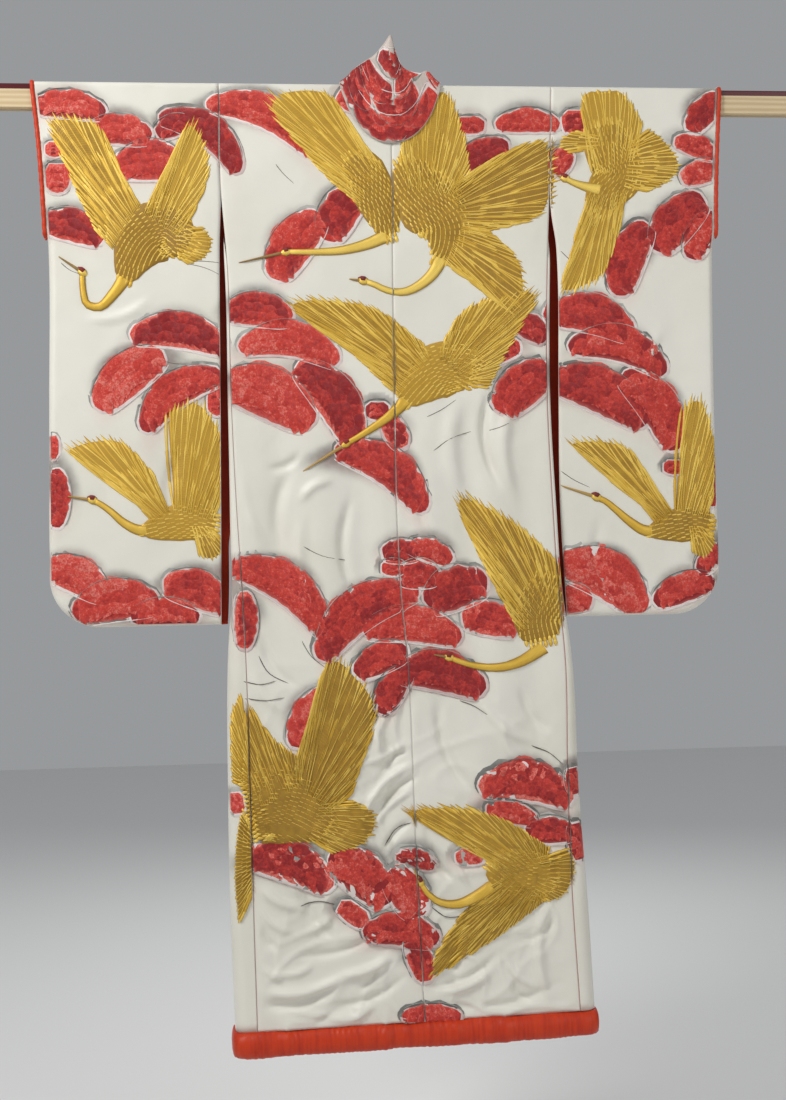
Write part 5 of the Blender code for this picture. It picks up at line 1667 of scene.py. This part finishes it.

# %% [markdown]
# ## Cranes
# Cranes in flight are the oldest wish for a long marriage. Each wing is a fan of ribs over a dark gold
# ground, which is painted shade in the gaps: the ribs spring from a short line at the shoulder and end along a long
# line of tips.
# Long flight feathers come first, and rows of shorter ones overlap them, as roof tiles do. The
# body is a low mound with small scales, and the neck is one padded strip.

# %% Cranes, as seen
Crane = namedtuple("Crane", "wings body neck head beak")
CRANES = [
    Crane(
        wings=[
            ([(140, 204), (112, 248)], [(106, 150), (98, 121), (47, 111), (66, 170), (92, 226)]),
            ([(144, 214), (176, 238)], [(168, 168), (182, 136), (194, 112), (211, 166), (194, 212)]),
            ([(174, 232), (178, 256)], [(206, 228), (214, 242), (208, 256), (190, 264)]),
        ],
        body=[(124, 284, 8), (131, 262, 19), (144, 240, 32), (162, 229, 31), (182, 240, 21), (196, 247, 9)],
        neck=[(126, 276), (113, 294), (98, 307), (87, 304), (83, 290)], head=(82, 272), beak=(58, 256),
    ),
    Crane(
        wings=[
            ([(170, 512), (154, 524)], [(152, 470), (114, 436), (62, 446), (104, 468), (134, 500)]),
            ([(174, 512), (212, 520)], [(166, 404), (178, 397), (192, 394), (222, 430), (222, 494)]),
            ([(192, 526), (208, 526)], [(200, 558), (212, 561), (223, 554), (223, 540)]),
        ],
        body=[(140, 532, 5), (156, 528, 13), (176, 523, 19), (198, 521, 20), (216, 526, 14)],
        neck=[(150, 531), (138, 530), (124, 523), (110, 511), (100, 504)], head=(92, 500), beak=(66, 496),
    ),
    Crane(
        wings=[([(384, 168), (360, 206)], [(356, 134), (321, 86), (262, 93), (303, 152), (336, 186)])],
        body=[(350, 150, 13), (362, 170, 23), (374, 194, 23), (384, 216, 18), (390, 238, 8)],
        neck=[(390, 234), (370, 243), (344, 250), (316, 252), (296, 252)], head=(286, 252), beak=(238, 263),
    ),
    Crane(
        wings=[
            ([(408, 190), (452, 196)], [(400, 150), (416, 98), (445, 84), (460, 112), (472, 166)]),
            ([(450, 186), (462, 226)], [(480, 170), (505, 152), (555, 138), (550, 210), (488, 232)]),
            ([(462, 226), (444, 262)], [(490, 230), (524, 266), (520, 322), (503, 306), (480, 284)]),
        ],
        body=[(404, 156, 14), (416, 180, 27), (432, 204, 37), (446, 228, 29), (444, 248, 15), (438, 262, 8)],
        neck=[(442, 256), (434, 272), (420, 285), (404, 292), (386, 290), (373, 284)], head=(363, 281), beak=(349, 279),
    ),
    Crane(
        wings=[
            ([(430, 358), (400, 398)], [(422, 342), (369, 304), (283, 300), (346, 348), (382, 382)]),
            ([(440, 360), (462, 382)], [(441, 346), (464, 309), (541, 291), (519, 334), (490, 388)]),
        ],
        body=[(402, 405, 8), (416, 388, 21), (434, 373, 29), (456, 367, 27), (476, 372, 20)],
        neck=[(408, 398), (392, 414), (374, 427), (358, 437)], head=(346, 444), beak=(302, 472),
    ),
    Crane(
        wings=[
            ([(592, 170), (632, 162)], [(584, 118), (583, 90), (618, 84), (635, 104), (643, 120)]),
            ([(630, 144), (624, 186)], [(652, 128), (665, 138), (682, 170), (668, 183), (650, 191)]),
            ([(588, 196), (628, 190)], [(575, 238), (568, 266), (560, 296), (597, 284), (620, 230)]),
            ([(600, 136), (598, 148)], [(574, 130), (562, 136), (557, 146), (566, 152)]),
        ],
        body=[(604, 118, 18), (610, 146, 27), (620, 170, 28), (606, 194, 21), (598, 214, 15)],
        neck=[(602, 190), (588, 187), (573, 182)], head=(565, 178), beak=(556, 175),
    ),
    Crane(
        wings=[
            ([(674, 512), (658, 526)], [(654, 486), (622, 442), (566, 439), (604, 464), (640, 500)]),
            ([(676, 510), (706, 518)], [(683, 402), (698, 392), (714, 424), (715, 490)]),
            ([(690, 526), (702, 526)], [(694, 554), (706, 560), (716, 548), (716, 536)]),
        ],
        body=[(648, 533, 5), (662, 529, 12), (680, 525, 18), (698, 523, 18), (712, 527, 12)],
        neck=[(656, 532), (644, 530), (630, 521), (616, 509), (606, 501)], head=(597, 497), beak=(560, 485),
    ),
    Crane(
        wings=[([(524, 632), (556, 600)], [(510, 618), (475, 548), (454, 491), (508, 515), (560, 562)])],
        body=[(548, 574, 15), (541, 596, 24), (537, 620, 27), (541, 642, 16)],
        neck=[(544, 646), (520, 661), (496, 667), (472, 665), (456, 660)], head=(448, 657), beak=(432, 654),
    ),
    Crane(
        wings=[
            ([(302, 784), (262, 806)], [(300, 756), (270, 733), (246, 702), (245, 734), (245, 770)]),
            ([(292, 778), (326, 812)], [(306, 730), (314, 704), (334, 651), (374, 690), (354, 788)]),
            ([(318, 804), (308, 836)], [(356, 800), (376, 812), (378, 824), (367, 842), (334, 853)]),
            ([(248, 786), (248, 748)], [(231, 780), (230, 744), (232, 706), (240, 690)]),
            ([(251, 892), (251, 826)], [(238, 922), (234, 880), (236, 836), (241, 806)]),
        ],
        body=[(246, 806, 40), (268, 802, 43), (292, 808, 39), (314, 818, 28), (332, 830, 13)], neck=None, head=None, beak=None,
    ),
    Crane(
        wings=[
            ([(504, 880), (544, 858)], [(494, 862), (442, 822), (400, 808), (483, 807), (548, 844)]),
            ([(540, 858), (532, 890)], [(572, 846), (575, 868), (560, 896), (545, 900)]),
            ([(506, 872), (540, 890)], [(484, 886), (452, 922), (420, 980), (486, 942), (544, 900)]),
        ],
        body=[(488, 856, 13), (508, 868, 27), (532, 874, 28), (554, 872, 18)],
        neck=[(494, 882), (476, 894), (456, 902), (438, 900), (426, 891)], head=(419, 880), beak=(412, 866),
    ),
]

# %% Work the cranes
FEATHER_SPACING, HIDDEN_SPACING = 3.9, 8.0
FEATHER_POINTS = 6
GROUND_SHARES = np.linspace(0, 0.94, 13)
GROUND_LIFTS = np.append(np.full(12, 0.0024), -EDGE_SINK)
Row = namedtuple("Row", "start end rise spread")
FEATHER_ROWS = [Row(0.42, 1.00, 0.0034, 1.0), Row(0.16, 0.66, 0.0038, 1.2), Row(-0.06, 0.36, 0.0041, 1.5)]


def feather(root, tip, halves, bow, row, cloth):
    """A rib from root to tip, slightly bowed, with a pointed end."""
    share = np.linspace(row.start, row.end, FEATHER_POINTS)
    way = np.subtract(tip, root)
    aside = np.array([-way[1], way[0]]) * bow
    spine = np.array(root) + share[:, None] * way + (share * (1 - share) * 4)[:, None] * aside
    done = np.linspace(0, 1, FEATHER_POINTS)
    width = mix(halves[0], halves[1], share) * np.sqrt(np.clip(1 - np.clip((done - 0.70) / 0.30, 0, 1) ** 2, 0.02, 1))
    lay_patch(spine, width, row.rise, row.rise, GOLD_SLOT, 3, cloth=cloth)


def wing(roots, tips, cloth):
    """A dark filled ground between the line of roots and the line of tips, which is painted shade between the ribs, and
    ribs along it.
    """
    spacing = HIDDEN_SPACING if cloth != "back" else FEATHER_SPACING
    reach = np.linalg.norm(np.diff(np.array(tips, float), axis=0), axis=1).sum()
    columns = max(4, round(reach / 6))
    root_points, tip_points = along_curve(roots, columns), along_curve(tips, columns)
    fan = root_points[None] + GROUND_SHARES[:, None, None] * (tip_points - root_points)[None]
    lift = np.repeat(GROUND_LIFTS[:, None], columns, axis=1)
    lift[:, [0, -1]] = -EDGE_SINK
    # The ground is painted shade between the ribs.
    lay_grid(fan, lift, np.linspace(0, 1, len(GROUND_SHARES)) * 40 * PIXEL, np.zeros(columns), SHADE_SLOT, cloth)
    for row in FEATHER_ROWS:
        count = max(3, round(reach * (0.75 + 0.25 * row.end) / (spacing * row.spread)))
        root_points, tip_points = along_curve(roots, count), along_curve(tips, count)
        gaps = [np.linalg.norm(np.gradient(points, axis=0), axis=1) * RIB_SHARE for points in (root_points, tip_points)]
        for k in range(count):
            bow = 0.03 * math.sin(k * 1.3) + 0.05 * (k / count - 0.5)
            tip = root_points[k] + (tip_points[k] - root_points[k]) * (1 + 0.03 * math.sin(k * 2.4))
            halves = (max(gaps[0][k], 0.45), float(np.clip(gaps[1][k], 1.0, 4.0)))
            feather(root_points[k], tip, halves, bow, row, cloth)


RIB_SHARE = 0.50
SCALE_LENGTH, SCALE_STEP, SCALE_HALF = 9.5, 4.4, 2.3


def crane_body(points, cloth):
    """A low padded ground in dark gold, painted shade between the short feathers that cover it and overlap like scales.
    """
    points = np.array(points, float)
    count = 13
    spine = along_curve(points[:, :2], count)
    reach = np.concatenate([[0], np.cumsum(np.linalg.norm(np.diff(points[:, :2], axis=0), axis=1))])
    half = np.interp(np.linspace(0, reach[-1], count), reach, points[:, 2])
    half[[0, -1]] *= 0.4
    # The ground is painted shade between the scales.
    lay_patch(spine, half, 0.0018, 0.0032, SHADE_SLOT, 9, cloth=cloth)
    step = SCALE_STEP * (2.0 if cloth != "back" else 1.0)
    rows = max(3, round(reach[-1] / step))
    middle = along_curve(points[:, :2], rows)
    tangent = np.gradient(middle, axis=0)
    tangent /= np.linalg.norm(tangent, axis=1)[:, None]
    aside = np.column_stack([-tangent[:, 1], tangent[:, 0]])
    wide = np.interp(np.linspace(0, reach[-1], rows), reach, points[:, 2]) * 0.90
    for k in range(rows - 1, -1, -1):
        number = max(1, round(2 * wide[k] / (2 * SCALE_HALF * (2.0 if cloth != "back" else 1.0))))
        for place in (np.arange(number) + 0.5 + 0.25 * (-1) ** k) / number * 2 - 1:
            if abs(place) > 1:
                continue
            base = middle[k] + aside[k] * place * wide[k]
            stitches = base + tangent[k] * np.linspace(-0.3, 0.7, 4)[:, None] * SCALE_LENGTH
            rise = 0.0028 + 0.0012 * math.sqrt(1 - place * place)
            halves = np.array([0.4, 0.9, 1.0, 0.35]) * SCALE_HALF * (2.0 if cloth != "back" else 1.0)
            lay_patch(stitches, halves, rise, rise, GOLD_SLOT, 3, cloth=cloth)


def crane_neck(crane, cloth):
    spine = along_curve(crane.neck + [crane.head], 16)
    thick = min(7.5, crane.body[0][2] * 0.5 + 4.0)
    taper = 3.1 + (thick - 3.1) * (1 - np.linspace(0, 1, 16)) ** 1.6
    lay_patch(spine, taper, 0.0022, 0.0040, GOLD_SLOT, 5, cloth=cloth)
    head, beak = np.array(crane.head, float), np.array(crane.beak, float)
    way = (beak - head) / np.linalg.norm(beak - head)
    skull = head + way * np.linspace(-6, 6, 5)[:, None]
    lay_patch(skull, np.array([1.0, 4.0, 4.6, 3.2, 1.4]), 0.0026, 0.0042, GOLD_SLOT, 5, cloth=cloth)
    crown = head + np.array([0.0, -2.2]) + way * np.linspace(-5.5, 5.5, 4)[:, None]
    lay_patch(crown, np.array([0.6, 2.8, 2.8, 0.6]), 0.0040, 0.0047, CROWN_SLOT, 5, cloth=cloth)
    bill = np.linspace(0.02, 1, 8)[:, None] * (beak - head) + head
    lay_patch(bill, np.linspace(2.0, 0.6, 8), 0.0026, 0.0034, BILL_SLOT, 5, cloth=cloth)


for cloth in ("back", "front"):
    for crane in CRANES:
        crane_body(crane.body, cloth)
        if crane.neck:
            crane_neck(crane, cloth)
        for roots, tips in crane.wings:
            wing(roots, tips, cloth)
print("cranes:", len(CRANES), "wings and tails:", sum(len(crane.wings) for crane in CRANES))

# %% [markdown]
# ## Twigs
# Between the tufts run a few bare twigs, in single dark lines of couched thread.

# %% Work the twigs
TWIG_LINES = [
    [(243, 681), (262, 684), (277, 680)], [(245, 698), (264, 700), (285, 697)], [(301, 640), (311, 656), (326, 668)],
    [(458, 700), (470, 704), (486, 714)], [(296, 228), (318, 212), (336, 188)], [(275, 163), (284, 174), (295, 184)],
    [(425, 418), (441, 410), (457, 399)], [(432, 452), (448, 440), (472, 431)], [(487, 431), (498, 428), (509, 423)],
    [(516, 204), (532, 205), (547, 206)], [(186, 263), (206, 268), (223, 276)], [(182, 261), (204, 261), (224, 263)],
    [(384, 846), (396, 828), (412, 821)], [(386, 862), (400, 872), (412, 874)], [(258, 655), (268, 672), (290, 684)],
    [(300, 545), (322, 556), (345, 560)], [(500, 560), (515, 553), (530, 556)], [(560, 250), (575, 262), (590, 262)],
    [(150, 352), (168, 362), (190, 364)], [(560, 470), (575, 480), (592, 488)], [(60, 262), (70, 270), (80, 274)],
    [(300, 905), (318, 900), (338, 903)], [(430, 905), (446, 915), (462, 914)], [(530, 745), (548, 752), (562, 764)],
]
TWIG_HALF = 0.62
for cloth in ("back", "front"):
    for line in TWIG_LINES:
        lay_patch(along_curve(line, 9), np.linspace(TWIG_HALF, TWIG_HALF * 0.5, 9), 0.0002, 0.0008, TWIG_SLOT, 3, cloth=cloth)
print("twigs:", len(TWIG_LINES))

# %% Gather the embroidery into pieces
for panel_name, batches in patches.items():
    name = "embroidery_" + panel_name
    mesh = batches.joined(name)
    if not mesh.polygons:
        continue
    for thread in THREADS:
        mesh.materials.append(thread)
    piece = bpy.data.objects.new(name, mesh)
    bpy.context.scene.collection.objects.link(piece)
    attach(piece, "root")
    print(name, "triangles:", sum(len(face.vertices) - 2 for face in mesh.polygons))

# %% [markdown]
# ## Paint the shade and the blush
# Before any stitch is made, a grey painted shade and a rose blush are laid on the satin round each tuft. The paint is
# an attribute on the cloth's vertices: how dark the painted shade is, by how far the vertex lies outside
# the nearest tuft, and more on its upper side.

# %% Painted shade and blush
SHADE_REACH = 15.0
painted = 0
for piece in list(body_pieces.values()) + list(sleeve_pieces.values()) + list(overlap_pieces.values()):
    mesh = piece.data
    place = np.zeros(len(mesh.vertices) * 3)
    mesh.vertices.foreach_get("co", place)
    place = place.reshape(-1, 3)
    across_x = np.where(place[:, 1] < 0, place[:, 0], -place[:, 0])
    painted_shade, blush = np.zeros(len(place)), np.zeros(len(place))
    for tuft in low_on_front:
        x, drop = on_cloth(tuft.px, tuft.py)
        right, down = (across_x - x) / PIXEL, (SHOULDER_Z - place[:, 2] - drop) / PIXEL
        near = np.hypot(right, down) < tuft.length
        slope = math.radians(tuft.slope)
        along = right[near] * math.cos(slope) + down[near] * math.sin(slope)
        sag = tuft.droop * tuft.length * ((along / tuft.length * 2) ** 2 - 1 / 3)
        off = -right[near] * math.sin(slope) + down[near] * math.cos(slope) - sag
        reach = np.hypot(along / (tuft.length / 2 + 2), off / (tuft.width / 2 + 2))
        outside = (reach - 1) * tuft.width / 2 / SHADE_REACH
        above = np.clip(0.65 - down[near] / tuft.width * 0.8, 0.15, 1.0)
        # Painted shade round the tuft, stronger on its upper side.
        painted_shade[near] = np.maximum(painted_shade[near], ease(1 - outside) * above * (0.75 + 0.25 * math.sin(tuft.px)))
        blush[near] = np.maximum(blush[near], ease(1 - outside * 1.3) * (0.40 + 0.2 * math.cos(tuft.py)))
    for name, values in (("painted_shade", painted_shade), ("blush", blush * 0.6)):
        mesh.attributes.new(name, "FLOAT", "POINT").data.foreach_set("value", values)
    painted += int((painted_shade > 0.05).sum())
# The collar gets an even painted shade and blush all over.
COLLAR_SHADE, COLLAR_BLUSH = 0.55, 0.30
for name, value in (("painted_shade", COLLAR_SHADE), ("blush", COLLAR_BLUSH)):
    collar.data.attributes.new(name, "FLOAT", "POINT").data.foreach_set("value", np.full(len(collar.data.vertices), value))
print("painted vertices:", painted)

# %% [markdown]
# Every sheet is declared with the size it was cut to before it was sewn and hung. A kimono is
# cut in straight lengths from one narrow roll of silk, so these are its cutting sizes.

for hand in (-1, 1):
    name = HAND_NAME[hand]
